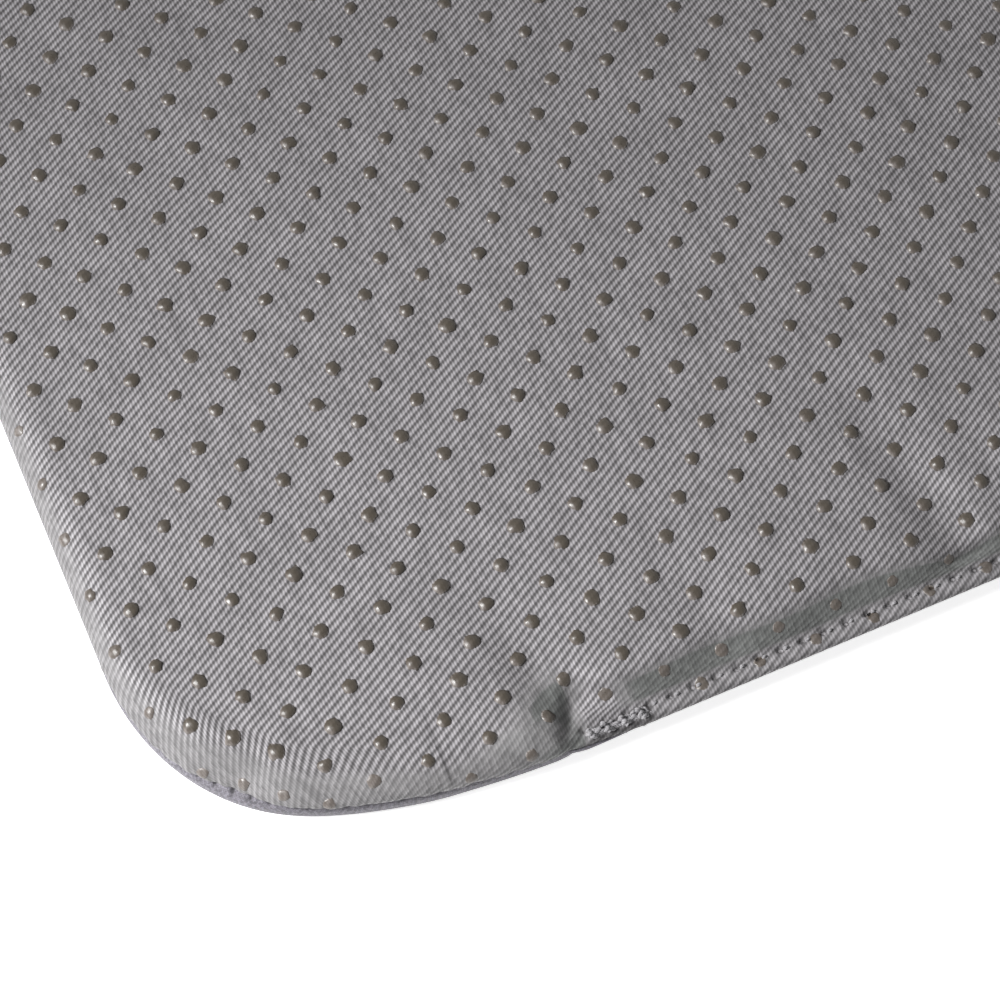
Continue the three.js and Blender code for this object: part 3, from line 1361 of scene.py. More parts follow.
    def undragged(self, places: Array) -> Array:
        """Undoes what the sewing dragged along.

        Args:
            places: Places on the cover, laid out flat.

        Returns:
            Where they lay on the flat cloth before.
        """
        before = places.copy()
        for x, y, across, along in self.drags:
            near = np.exp(-((places - np.array([x, y]) * MM) ** 2).sum(-1) / (2.0 * self.drag_reach**2))
            before -= near[..., None] * np.array([across, along]) * MM
        return before

    def tautness_and_shade(self, rings: Rings) -> Array:
        """How tightly the cloth is pulled over the edge.

        Args:
            rings: The smooth rings.

        Returns:
            0 on the face, 1 on the slope beside the lip; the twill's colour takes painted loss of sheen and
            painted shade from it.
        """
        mat, stations, ply = self.mat, self.mat.stations, self.mat.lip_ply
        past_lip = (np.abs(stations.point[:, 0]) - mat.closing_half) / self.taut_fade
        beside = np.where(stations.point[:, 1] < -mat.straight_y, 1.0 - ease(past_lip), 0.0)
        over_edge = ease((self.height - rings.height) / (self.taut_drop * self.height))
        low = ease((self.loose_from * ply - rings.height) / (self.loose_fade * ply))
        pulled = over_edge * (1.0 - self.lip_loose * (stations.pinch[:, None] * low))
        return pulled * (self.taut_edge + (1.0 - self.taut_edge) * beside)[:, None]

    def make(self) -> tuple[MeshPart, int]:
        """Lofts the rings and fills the middle.

        Returns:
            The cover as one sheet, and how many of its faces come before the turned-in allowance.
        """
        smooth = self.rings()
        shaped = self.shape(smooth)
        count, per = shaped.shape[:2]
        middle, triangles = fill_ring(shaped[:, 0, :2], self.grid)
        face_z = self.mat.seam_height + self.face.value * self.height
        inner = self.shape_middle(np.column_stack([middle, np.full(len(middle), face_z)]))
        order = np.concatenate([np.arange(count) * per, count * per + np.arange(len(middle))])
        faces: list[Sequence[int]] = [order[list(triangle)] for triangle in triangles]
        inside = len(faces) + self.seam_ring * count
        faces.extend(loft(count, per))
        if self.face is Face.PRESS:
            faces = [face[::-1] for face in faces]
        edge = self.undragged(self.unrolled(smooth))
        places = np.concatenate([edge.reshape(-1, 2), self.undragged(middle)])
        none = np.zeros(len(middle))
        values = {
            CLOTH_PLACE: np.column_stack([places, np.zeros(len(places))]),
            TAUT_AND_SHADE: np.concatenate([self.tautness_and_shade(smooth).ravel(), none]),
            HOLE_SHADE: np.concatenate([self.holes(smooth).ravel(), none]),
        }
        return MeshPart(np.concatenate([shaped.reshape(-1, 3), inner]), faces, values), inside

    def cloth_area(self, part: MeshPart) -> float:
        """Measures a sheet.

        Args:
            part: The sheet.

        Returns:
            Area of its outer side.
        """
        total = 0.0
        for face in part.faces:
            corners = part.points[list(face)]
            fan = np.cross(corners[1:-1] - corners[0], corners[2:] - corners[0])
            total += 0.5 * float(np.linalg.norm(fan.sum(0)))
        return total

    def thicken(self, piece: bpy.types.Object) -> None:
        """Gives the sheet its cloth thickness, inwards.

        Args:
            piece: The sheet.
        """
        solidify = piece.modifiers.new("cloth thickness", "SOLIDIFY")
        solidify.thickness = self.cloth
        solidify.offset = -1.0


@dataclass
class GripCover(Cover):
    """The dotted twill cover on top, with dimples at its stitches and gathers at its seam.

    Attributes:
        end_run: How much longer the slope's run is at the lip's ends.
        end_lead: How far past the row's ends it is longest.
        hole_lead: How far the needle's holes are moved on along X.
        tack_fades: How softly the painted shade of the sewn-back ends starts, ends and meets the slope.
        end_tuck: How far the fold of the lip is tucked in at its ends.
        patches: Where the twill is pulled flat or loose past the lip's ends, and so how much painted shade
            its colour takes, as on the creases there: X, Y, reach to the left, to the right and along Y in
            millimetres, and how taut it is.
    """

    face: Face = Face.GRIP
    finish: Finish = GripTwill()
    roll: float = 4.4 * MM
    bulge_share: float = 0.27
    corner_roll: float = 1.0 * MM
    corner_roundness: float = 1.5
    corner_lean: float = -0.5
    corner_fullness: float = 0.1
    run: float = 3.7 * MM
    take_up: float = 0.9 * MM
    gape_share: float = 0.1
    gape_tuck: float = 0.1 * MM
    gape_pull: float = 1.0 * MM
    drags: tuple[tuple[float, float, float, float], ...] = (
        (-150.0, -52.0, -0.04, -0.69),
        (-150.0, -68.0, -0.09, -0.7),
        (-150.0, -84.0, 0.07, -0.77),
        (-150.0, -100.0, -0.14, -0.54),
        (-150.0, -116.0, 0.05, -0.93),
        (-136.0, -76.0, -0.11, 0.27),
        (-136.0, -108.0, -0.05, 0.38),
        (-136.0, -151.0, 0.12, 0.59),
        (-120.0, -151.0, 0.92, -0.07),
        (-104.0, -151.0, 0.73, 0.39),
        (-88.0, -151.0, 0.3, 0.39),
        (-56.0, -151.0, -0.29, 0.24),
        (-40.0, -151.0, -0.21, 0.46),
        (-120.0, -137.0, 0.41, 0.31),
        (-88.0, -137.0, 0.27, -0.32),
        (-56.0, -137.0, 0.37, 0.07),
    )
    run_change: float = 0.8 * MM
    end_run: float = 3.2 * MM
    end_reach: float = 3.4 * MM
    end_lead: float = 0.8 * MM
    hole_depth: float = 0.8 * MM
    hole_along: float = 0.42 * MM
    hole_across: float = 0.3 * MM
    hole_lead: float = -0.36 * MM
    tack_length: float = 9.5 * MM
    tack_fades: tuple[float, float, float] = (0.6 * MM, 1.5 * MM, 0.5 * MM)
    # Painted shade between the crowded stitches of the sewn-back ends.
    tack_shade: float = 0.6
    end_tuck: float = 0.25 * MM
    end_run_in: float = 9.0 * MM
    patches: tuple[tuple[float, float, float, float, float, float], ...] = (
        (-101.8, -148.2, 5.2, 0.8, 4.6, 1.0),
        (-98.4, -148.2, 2.0, 2.6, 2.4, 0.1),
        (-107.5, -149.8, 5.5, 4.5, 1.7, 0.86),
        (101.8, -148.2, 0.8, 5.2, 4.6, 1.0),
        (107.5, -149.8, 4.5, 5.5, 1.7, 0.86),
    )
    patch_fill: float = 2.2
    raised_from: float = 1.05
    raised_fade: float = 0.5
    row_depth: float = 0.05 * MM
    row_reach: float = 2.2
    lip_wave: float = 0.12 * MM
    scallop: float = 0.1 * MM
    gather: float = 0.1 * MM
    gather_share: float = 0.75
    runs: Waves = Waves(26.0 * MM, 5)
    gathers: Waves = Waves(2.4 * MM, 7)
    lip_waves: Waves = Waves(9.0 * MM, 31)

    def slope_run(self) -> Array:
        """The slope's run, which wanders along the lip and is pulled back at its ends.

        Returns:
            Its length on the plan at each station.
        """
        point = self.mat.stations.point
        past_end = (np.abs(point[:, 0]) - self.mat.closing_half - self.end_lead) / self.end_reach
        wander = self.run_change * self.runs.at(point[:, 0], point[:, 1] * 0.0)
        return self.run + wander + self.end_run * np.exp(-(past_end**2))

    def from_row(self, rings: Rings) -> Array:
        """How far in from the topstitched row each point lies."""
        return rings.inset - self.mat.stations.draw[:, None] - self.mat.stitch_margin

    def shape(self, rings: Rings) -> Array:
        """Works the dents, stitch dimples, scallops and gathers in.

        Args:
            rings: The smooth rings.

        Returns:
            Places of their points after that.
        """
        mat, stations = self.mat, self.mat.stations
        shaped = rings.points.copy()
        x, y, height = rings.points[..., 0], rings.points[..., 1], rings.height
        raised = ease((height - mat.lip_ply * self.raised_from) / (self.raised_fade * self.height))
        shaped[..., 2] -= self.top.sink(x, y) * raised
        pinch = stations.pinch[:, None]
        furrow = np.exp(-((self.from_row(rings) / (self.row_reach * self.hole_across)) ** 2))
        furrow = pinch * (height > 0.5 * mat.lip_ply) * furrow
        shaped[..., 2] -= self.row_depth * furrow + self.hole_depth * self.needle_holes(rings)
        waved = self.lip_wave * self.lip_waves.at(x, y) * pinch
        shaped[..., 2] += waved * (height > 0.1 * mat.lip_ply) * (1.0 - raised)
        rolled = (1.0 - pinch) * ease(1.0 - height / (self.gather_share * self.height))
        stitch = 0.5 + 0.5 * np.cos(2.0 * math.pi * stations.travel / mat.seam_stitch)[:, None]
        pull = self.scallop * stitch * rolled + self.gather * self.gathers.at(x, y) * rolled
        ending = 1.0 - ease((mat.closing_half - np.abs(x)) / self.end_run_in)
        pull = pull + self.end_tuck * pinch * ending * ease(1.0 - rings.inset / mat.lip_width)
        shaped[..., :2] -= stations.outward[:, None] * pull[..., None]
        return shaped

    def needle_holes(self, rings: Rings) -> Array:
        """Holes of the topstitched row.

        Args:
            rings: The smooth rings.

        Returns:
            1 in the middle of a hole, 0 away from it.
        """
        mat, stations = self.mat, self.mat.stations
        from_hole = (rings.points[..., 0] + mat.closing_half - self.hole_lead) / mat.stitch_length
        from_hole = (from_hole - np.round(from_hole)) * mat.stitch_length
        across = self.from_row(rings) / self.hole_across
        shaded_hole = np.exp(-((from_hole / self.hole_along) ** 2) - (across**2))
        return shaded_hole * stations.pinch[:, None] * (rings.height > 0.5 * mat.lip_ply)

    def holes(self, rings: Rings) -> Array:
        """The topstitched row's holes, and the crowded ones where it is sewn back over itself.

        Args:
            rings: The smooth rings.

        Returns:
            1 in the middle of a hole, 0 away from it, with painted shade between the crowded stitches of the
            sewn-back ends.
        """
        mat, stations = self.mat, self.mat.stations
        start, end, side = self.tack_fades
        from_end = mat.closing_half - np.abs(rings.points[..., 0])
        crowd = ease(from_end / start) * ease((self.tack_length - from_end) / end)
        crowd *= ease((mat.lip_width - rings.inset) / side) * stations.pinch[:, None]
        return np.maximum(self.needle_holes(rings), self.tack_shade * crowd)

    def tautness_and_shade(self, rings: Rings) -> Array:
        """How tightly the twill is pulled, smooth in the creases past the lip and loose just beside them.

        Args:
            rings: The smooth rings.

        Returns:
            0 where it is loose, 1 where it is pulled flat and the colour takes the full painted shade of the
            slope.
        """
        taut = super().tautness_and_shade(rings)
        # Patches at 1 paint the dark facets of the creases at the lip's ends with the slope's shaded colours.
        for x, y, left, right, reach, value in self.patches:
            across, along = rings.points[..., 0] - x * MM, rings.points[..., 1] - y * MM
            side = np.where(across < 0.0, left, right) * MM
            near = np.exp(-((across / side) ** 2) - (along / (reach * MM)) ** 2)
            taut = taut + (value - taut) * np.minimum(self.patch_fill * near, 1.0)
        return taut

    def shape_middle(self, points: Array) -> Array:
        """Works the waves and dents into the middle of the face.

        Args:
            points: Places on the flat face.

        Returns:
            The places after that.
        """
        shaped = points.copy()
        shaped[:, 2] -= self.top.sink(points[:, 0], points[:, 1])
        return shaped

    def build(self) -> ClothMap:
        """Makes the cover.

        Returns:
            The map from the flat cloth to it.
        """
        part, inside = self.make()
        piece = part.to_object("grip_cover_twill", self.finish.paint())
        normals = np.empty(len(part.points) * 3, np.float32)
        piece.data.vertex_normals.foreach_get("vector", normals)
        corners = [[f[0], f[i], f[i + 1]] for f in part.faces[:inside] for i in range(1, len(f) - 1)]
        places = part.values[CLOTH_PLACE][:, :2]
        cloth = ClothMap(places, part.points, normals.reshape(-1, 3), np.array(corners))
        area = self.cloth_area(part)
        self.thicken(piece)
        settle(piece, "grip_twill", "grip_cover")
        return cloth


@dataclass
class PressCover(Cover):
    """The smooth press cover underneath, pulled in at each stitch of the seam.

    Attributes:
        pit_drop: How far under the seam the pits lie where it gapes, as a part of the height.
        recess: How far the edge is drawn in past the lip's ends.
        lip_recess: How far it is drawn in under the lip.
        end_fill: How far it stands out again where the lip ends.
    """

    pit: float = 0.14 * MM
    pit_along: float = 0.26 * MM
    pit_across: float = 0.08
    pit_drop: float = 0.06
    pit_fill: float = 1.7
    recess: float = 0.5 * MM
    recess_run: float = 30.0 * MM
    lip_recess: float = 0.45 * MM
    lip_run: float = 12.0 * MM
    end_fill: float = 0.3 * MM

    def shape(self, rings: Rings) -> Array:
        """Works a pit at each stitch into the rings near the seam, and draws the edge in by the lip.

        Args:
            rings: The smooth rings.

        Returns:
            Places of their points after that.
        """
        mat, stations, pinch = self.mat, self.mat.stations, self.mat.stations.pinch
        shaped = rings.points.copy()
        pull = self.pit * self.holes(rings)
        past_lip = (np.abs(stations.point[:, 0]) - mat.closing_half) / self.recess_run
        recess = self.recess * np.where(stations.point[:, 1] < -mat.straight_y, 1.0 - ease(past_lip), 0.0)
        in_lip = ease((mat.closing_half - np.abs(stations.point[:, 0])) / self.lip_run)
        ending = 4.0 * pinch * (1.0 - pinch)
        behind = recess * (1.0 - pinch) + self.lip_recess * in_lip * pinch - self.end_fill * ending
        pull += behind[:, None] * ease(1.0 - rings.inset / self.flat_inset)
        shaped[..., :2] -= stations.outward[:, None] * pull[..., None]
        return shaped

    def holes(self, rings: Rings) -> Array:
        """The pits that the edge seam's stitches pull into the cloth beside it.

        Args:
            rings: The smooth rings.

        Returns:
            1 in the middle of a pit, 0 away from it; the press weave is darkened there, as painted shade in
            the pit.
        """
        stations, stitch = self.mat.stations, self.mat.seam_stitch
        from_hole = stations.travel / stitch
        from_hole = (from_hole - np.round(from_hole)) * stitch
        level = self.pit_drop * self.height * stations.gape[:, None]
        across = (rings.height - level) / (self.pit_across * self.height)
        near = np.exp(-(across**2)) * (1.0 - stations.pinch[:, None])
        return np.minimum(self.pit_fill * np.exp(-((from_hole / self.pit_along) ** 2))[:, None] * near, 1.0)

    def build(self) -> bpy.types.Object:
        """Makes the cover.

        Returns:
            The piece.
        """
        part, _ = self.make()
        piece = part.to_object("press_cover_cloth", self.finish.paint())
        area = self.cloth_area(part)
        self.thicken(piece)
        settle(piece, "press_weave", "press_cover")
        return piece


@dataclass
class GripDots:
    """The silicone domes printed on the twill in a slanting lattice.

    Attributes:
        first: Place of one dot on the flat cloth.
        row: Step to the next dot in a row.
        column: Step to the next row.
        radius: Radius of a dome.
        height: Height of a dome.
        ring_shares: Radii of a dome's rings, as parts of the radius.
    """

    mat: MatForm
    first: tuple[float, float] = (-106.88 * MM, -89.03 * MM)
    row: tuple[float, float] = (4.0923 * MM, -4.3198 * MM)
    column: tuple[float, float] = (-3.9237 * MM, -4.1344 * MM)
    radius: float = 1.06 * MM
    height: float = 0.45 * MM
    sink: float = 0.12 * MM
    ring_shares: tuple[float, ...] = (1.0, 0.94, 0.75, 0.45)
    sides: int = 12
    radius_change: float = 0.05
    place_change: float = 0.05 * MM
    height_change: float = 0.14
    clear_change: float = 0.12
    # Painted light: each dome is made clearer, and so lighter, on its side towards the key lamp; the next
    # four say how much, which way that side lies on the flat cloth, and where it starts and fades.
    lit_side_clear: float = 0.85
    lit_side_way: tuple[float, float] = (-0.92, -0.38)
    side_from: float = 0.2
    side_fade: float = 0.75
    edge_clear: float = 0.72
    lip_clear: float = 0.4
    edge_flat: float = 0.6
    edge_shrink: float = 0.2
    tilt_full: float = 0.2
    drop_from: float = 0.9 * MM
    drop_fade: float = 1.6 * MM
    ragged: float = 0.09
    sewn_over: float = 9.0 * MM
    sewn_margin: float = 0.9 * MM
    seed: int = 41
    finish: Finish = GripSilicone()

    def lattice(self) -> Array:
        """Lays out the dots past the mat's edge on all sides.

        Returns:
            Their places on the flat cloth.
        """
        reach = 1.05 * max(self.mat.half_width, self.mat.half_depth)
        steps = np.array([self.row, self.column])
        count = int(2.2 * reach / min(np.linalg.norm(steps, axis=1))) + 40
        i, j = np.meshgrid(np.arange(-count, count + 1), np.arange(-count, count + 1), indexing="ij")
        places = np.array(self.first) + np.stack([i, j], -1).reshape(-1, 2) @ steps
        return places[np.abs(places).max(1) < reach]

    def dome(self, radius: float, height: float, ragged: Array) -> tuple[Array, Array]:
        """One dome on the flat.

        Args:
            radius: Its radius.
            height: Its height.
            ragged: How far each side of its outline stands out, as a part of the radius.

        Returns:
            Offsets on the cloth and heights over it, ring by ring from the foot, and the crown last.
        """
        angle = np.arange(self.sides) / self.sides * 2.0 * math.pi
        circle = np.stack([np.cos(angle), np.sin(angle)], 1) * radius
        rings = [circle * share * (1.0 + ragged[:, None] * share**2) for share in self.ring_shares]
        offsets = np.concatenate(rings + [np.zeros((1, 2))])
        ball = (radius**2 + height**2) / (2.0 * height)
        rise = [math.sqrt(ball**2 - (radius * share) ** 2) - ball + height for share in self.ring_shares]
        rise[0] = -self.sink
        return offsets, np.append(np.repeat(rise, self.sides), height)

    def dome_faces(self) -> list[list[int]]:
        """Closes a dome over its foot, its rings and its crown.

        Returns:
            Corners of its faces.
        """
        sides, rings = self.sides, len(self.ring_shares)
        faces = [list(range(sides))[::-1]]
        for ring in range(rings - 1):
            for k in range(sides):
                a, b = ring * sides + k, ring * sides + (k + 1) % sides
                faces.append([a, b, b + sides, a + sides])
        crown, last = rings * sides, (rings - 1) * sides
        faces.extend([last + k, last + (k + 1) % sides, crown] for k in range(sides))
        return faces

    def unstretched(self, offsets: Array, spots: Array) -> Array:
        """Offsets that come out round where the cloth is sheared over an edge.

        Args:
            offsets: Offsets on the flat cloth, the crown's last.
            spots: Where the cover carries them to.

        Returns:
            The offsets with the cover's own stretch taken out.
        """
        pull = np.linalg.lstsq(offsets, spots - spots[-1], rcond=None)[0]
        sizes, ways = np.linalg.eigh(pull @ pull.T)
        return offsets @ (ways / np.sqrt(np.clip(sizes, 0.25, 4.0))) @ ways.T

    def build(self, cloth: ClothMap) -> bpy.types.Object:
        """Prints the dots on the cover.

        Args:
            cloth: The map from the flat cloth to the cover.

        Returns:
            All the dots as one piece.
        """
        rng = np.random.default_rng(self.seed)
        points, faces, clarity_and_lit_side, flat = [], [], [], []
        pattern = self.dome_faces()
        count = 0
        for place in self.lattice():
            radius = self.radius * (1.0 + self.radius_change * rng.normal())
            height = self.height * (1.0 + self.height_change * rng.normal())
            shift, clear = rng.normal(size=2) * self.place_change, rng.uniform(0.0, self.clear_change)
            offsets, rise = self.dome(radius, height, rng.normal(size=self.sides) * self.ragged)
            carried = cloth.carry(place + shift + offsets)
            if carried is None:
                continue
            spot, crown = carried[0][-1], carried[1][-1] / np.linalg.norm(carried[1][-1])
            tilted = ease((1.0 - crown[2]) / self.tilt_full)
            lowered = ease((self.mat.thickness - spot[2] - self.drop_from) / self.drop_fade)
            worn = float(max(tilted, lowered))
            offsets = self.unstretched(offsets, carried[0]) * (1.0 - self.edge_shrink * worn)
            spots, ways = cloth.carry(place + shift + offsets) or carried
            way = ways / np.linalg.norm(ways, axis=1)[:, None]
            from_end = self.mat.closing_half - abs(spot[0])
            by_row = spot[1] < self.mat.stitch_row + self.sewn_margin
            if by_row and -self.sewn_margin < from_end < self.sewn_over:
                continue
            points.append(spots + way * rise[:, None] * (1.0 - self.edge_flat * worn))
            faces.extend([[corner + count for corner in face] for face in pattern])
            # Painted light: the side towards the key lamp is made clearer, and so lighter, less so where the
            # dome is worn.
            to_lit_side = (offsets @ self.lit_side_way / radius - self.side_from) / self.side_fade
            side = self.lit_side_clear * (1.0 - worn) * ease(to_lit_side)
            beside_lip = abs(spots[-1, 0]) < self.mat.straight_x and spots[-1, 1] < -self.mat.straight_y
            most = self.lip_clear if beside_lip else self.edge_clear
            clarity_and_lit_side.append(np.clip(clear + most * worn + side, 0.0, 1.0))
            flat.append(np.column_stack([place + shift + offsets, np.zeros(len(rise))]))
            count += len(rise)
        rim = np.append(np.repeat(self.ring_shares, self.sides), 0.0)
        values = {
            CLARITY_AND_LIT_SIDE: np.concatenate(clarity_and_lit_side),
            CLOTH_PLACE: np.concatenate(flat),
            RIM: np.tile(rim, len(points)),
        }
        part = MeshPart(np.concatenate(points), faces, values)
        return settle(part.to_object("grip_dots", self.finish.paint()), "grip_silicone")


@dataclass
class ThreadRun:
    """A sewing thread of three twisted plies that follows a path.

    Attributes:
        path: Points of the path, close together.
        diameter: Diameter of the whole thread, or one for each point.
        twist: Length of one turn of the plies.
        plies: How many plies are twisted together.
        sides: Sides of a ply.
    """

    path: Array
    diameter: float | Array = 0.5 * MM
    twist: float = 0.9 * MM
    plies: int = 3
    sides: int = 6

    def make(self) -> MeshPart:
        """Sweeps the plies along the path.

        Returns:
            The thread as closed tubes.
        """
        path = self.path
        along = np.gradient(path, axis=0)
        along /= np.linalg.norm(along, axis=1)[:, None]
        level = along * np.array([1.0, 1.0, 0.0])
        level /= np.maximum(np.linalg.norm(level, axis=1), 1e-6)[:, None]
        across = np.stack([-level[:, 1], level[:, 0], np.zeros(len(path))], 1)
        over = np.cross(along, across)
        travel = np.concatenate([[0.0], np.cumsum(np.linalg.norm(np.diff(path, axis=0), axis=1))])
        diameter = np.broadcast_to(self.diameter, len(path))[:, None]
        ply_radius = 0.3 * diameter
        offset = 0.5 * diameter - ply_radius
        points, faces = [], []
        for ply in range(self.plies):
            turn = 2.0 * math.pi * (travel / self.twist + ply / self.plies)
            centre = path + offset * (np.cos(turn)[:, None] * across + np.sin(turn)[:, None] * over)
            base = ply * len(path) * self.sides
            for k in range(self.sides):
                angle = 2.0 * math.pi * k / self.sides
                points.append(centre + ply_radius * (math.cos(angle) * across + math.sin(angle) * over))
            rows = np.arange(len(path) - 1)
            for k in range(self.sides):
                a, b = base + k * len(path), base + (k + 1) % self.sides * len(path)
                faces.extend(np.stack([a + rows, a + rows + 1, b + rows + 1, b + rows], 1)[:, ::-1])
            ends = base + np.arange(self.sides) * len(path)
            faces.extend([ends, (ends + len(path) - 1)[::-1]])
        return MeshPart(np.concatenate(points), faces)


@dataclass
class ClosingSeam:
    """The topstitched row along the lip, sewn back over itself at both ends.

    Attributes:
        rise: How far a stitch stands over the lip where it comes up.
        low: How far it stands over the lip after that, less than nothing where it is bedded in the cloth.
        dive: How far it goes into a hole.
        under_low: How far the bobbin thread stands out under the lip between its holes.
        under_dive: How far the bobbin thread goes into a hole.
        rise_share: Part of a stitch in which the thread comes up.
        settle_share: Part of a stitch in which it then beds in.
        fall_share: Part of a stitch in which it goes down again.
        slant: How far a stitch of the row lies across it.
        tack_thread: Diameter of the thread where it lies slack, in the ends sewn back over themselves.
        tack_length: Length of the ends that are sewn back over themselves.
        tack_low: How far they stand over the lip between their holes, before their lift.
        tack_turns: Where those rows turn, as parts of tack_length.
        tacks: Shift, lead, lift and slant of the rows sewn there.
    """

    mat: MatForm
    step: float = 0.14 * MM
    rise: float = 0.12 * MM
    low: float = -1.45 * MM
    dive: float = 1.75 * MM
    under_low: float = -0.12 * MM
    under_dive: float = 0.7 * MM
    rise_share: float = 0.1
    settle_share: float = 0.24
    fall_share: float = 0.2
    sway: float = 0.09 * MM
    slant: float = 0.12 * MM
    thread: float = 0.5 * MM
    tack_thread: float = 0.7 * MM
    tack_length: float = 9.0 * MM
    tack_stitch: float = 2.3 * MM
    tack_sway: float = 0.15 * MM
    tack_low: float = -0.75 * MM
    tack_turns: tuple[float, float, float] = (0.05, 0.9, 0.1)
    tacks: tuple[tuple[float, float, float, float], ...] = (
        (0.9 * MM, 0.2, 0.5 * MM, 0.5 * MM),
        (0.35 * MM, 0.7, 0.6 * MM, -0.5 * MM),
        (0.65 * MM, 0.45, 0.7 * MM, 0.5 * MM),
    )
    tangle: Waves = Waves(1.9 * MM, 61)
    wander: Waves = Waves(11.0 * MM, 53)
    finish: Finish = SewingThread()

    def row(
        self,
        start: float,
        end: float,
        face: Face,
        stitch: float,
        shift: float = 0.0,
        lead: float = 0.0,
        lift: float = 0.0,
        slant: float = 0.0,
    ) -> Array:
        """Path of one row of stitches.

        Args:
            start: X of its first hole.
            end: X of its last hole.
            face: The face of the lip it lies on.
            stitch: Length of its stitches.
            shift: How far it lies towards the fold from the stitch row.
            lead: How far its holes are moved on along X, in stitches.
            lift: How far it lies over the lip's cloth.
            slant: How far a stitch lies across the row.

        Returns:
            Points of the path.
        """
        mat = self.mat
        x = np.arange(start, end, self.step if end > start else -self.step)
        share = np.mod((x - start) / stitch - lead, 1.0)
        up, down = ease(share / self.rise_share), ease((1.0 - share) / self.fall_share)
        bedded = ease((share - 1.3 * self.rise_share) / self.settle_share)
        low, dive = (self.low, self.dive) if face is Face.GRIP else (self.under_low, self.under_dive)
        low = max(low, self.tack_low) if shift > 0.0 else low
        over = self.rise + (low - self.rise) * bedded + lift
        z = mat.seam_height + face.value * (mat.lip_ply + (over + dive) * up * down - dive)
        y = mat.stitch_row - shift + self.sway * self.wander.at(x, x * 0.0 + shift) + slant * (share - 0.5)
        if shift > 0.0:
            y += self.tack_sway * self.tangle.at(x, x * 0.0 + 9.0 * shift)
        return np.stack([x, y, z], 1)

    def build(self, face: Face, name: str, node: str) -> bpy.types.Object:
        """Sews one thread of the seam.

        Args:
            face: The face of the lip it lies on.
            name: Name of the piece.
            node: Solid that it replaces.

        Returns:
            The thread.
        """
        half, back, short = self.mat.closing_half, self.tack_length, self.tack_stitch
        first, second, third = self.tacks
        near, far, last = (turn * back for turn in self.tack_turns)
        begun = [
            self.row(-half + back, -half + near, face, short, *first),
            self.row(-half + near, -half + far, face, short, *second),
            self.row(-half + far, -half, face, short, *third),
        ]
        sewn = self.row(-half, half, face, self.mat.stitch_length, slant=self.slant)
        ended = [
            self.row(half, half - back, face, short, *third),
            self.row(half - back, half - last, face, short, *second),
        ]
        slack = self.tack_thread if face is Face.GRIP else self.thread
        counts = [sum(map(len, begun)), len(sewn), sum(map(len, ended))]
        sizes = np.repeat([slack, self.thread, slack], counts)
        part = ThreadRun(np.concatenate([*begun, sewn, *ended]), sizes).make()
        return settle(part.to_object(name, self.finish.paint()), "thread", node)


@dataclass
class EdgeSeam:
    """The lockstitched seam round the other edges, sewn inside out and hidden in the allowances.

    Attributes:
        behind: How far the seam lies behind the edge.
        level: How far each thread lies over or under the seam.
        wave: How much the thread rises and falls at each stitch.
        clear: How far past the end of the lip the seam starts.
        twist: Length of one turn of the plies.
    """

    mat: MatForm
    behind: float = 1.75 * MM
    level: float = 0.87 * MM
    wave: float = 0.12 * MM
    clear: float = 4.0 * MM
    twist: float = 2.2 * MM
    finish: Finish = SewingThread()

    def build(self, face: Face, name: str, node: str) -> bpy.types.Object:
        """Sews one thread of the seam.

        Args:
            face: The side of the seam it lies on.
            name: Name of the piece.
            node: Solid that it replaces.

        Returns:
            The thread.
        """
        mat, stations = self.mat, self.mat.stations
        clear = mat.closing_half + mat.pinch_fade + self.clear
        beside_lip = stations.travel < 2.0 * mat.straight_x
        first = np.nonzero(beside_lip & (stations.point[:, 0] > clear))[0][0]
        last = np.nonzero(beside_lip & (stations.point[:, 0] < -clear))[0][-1]
        order = np.arange(first, len(stations.point) + last) % len(stations.point)
        inset = self.behind + stations.draw[order]
        plan = stations.point[order] - stations.outward[order] * inset[:, None]
        hump = np.cos(2.0 * math.pi * stations.travel[order] / mat.seam_stitch)
        z = mat.seam_height + face.value * (self.level + self.wave * hump)
        part = ThreadRun(np.column_stack([plan, z]), twist=self.twist).make()
        return settle(part.to_object(name, self.finish.paint()), "thread", node)


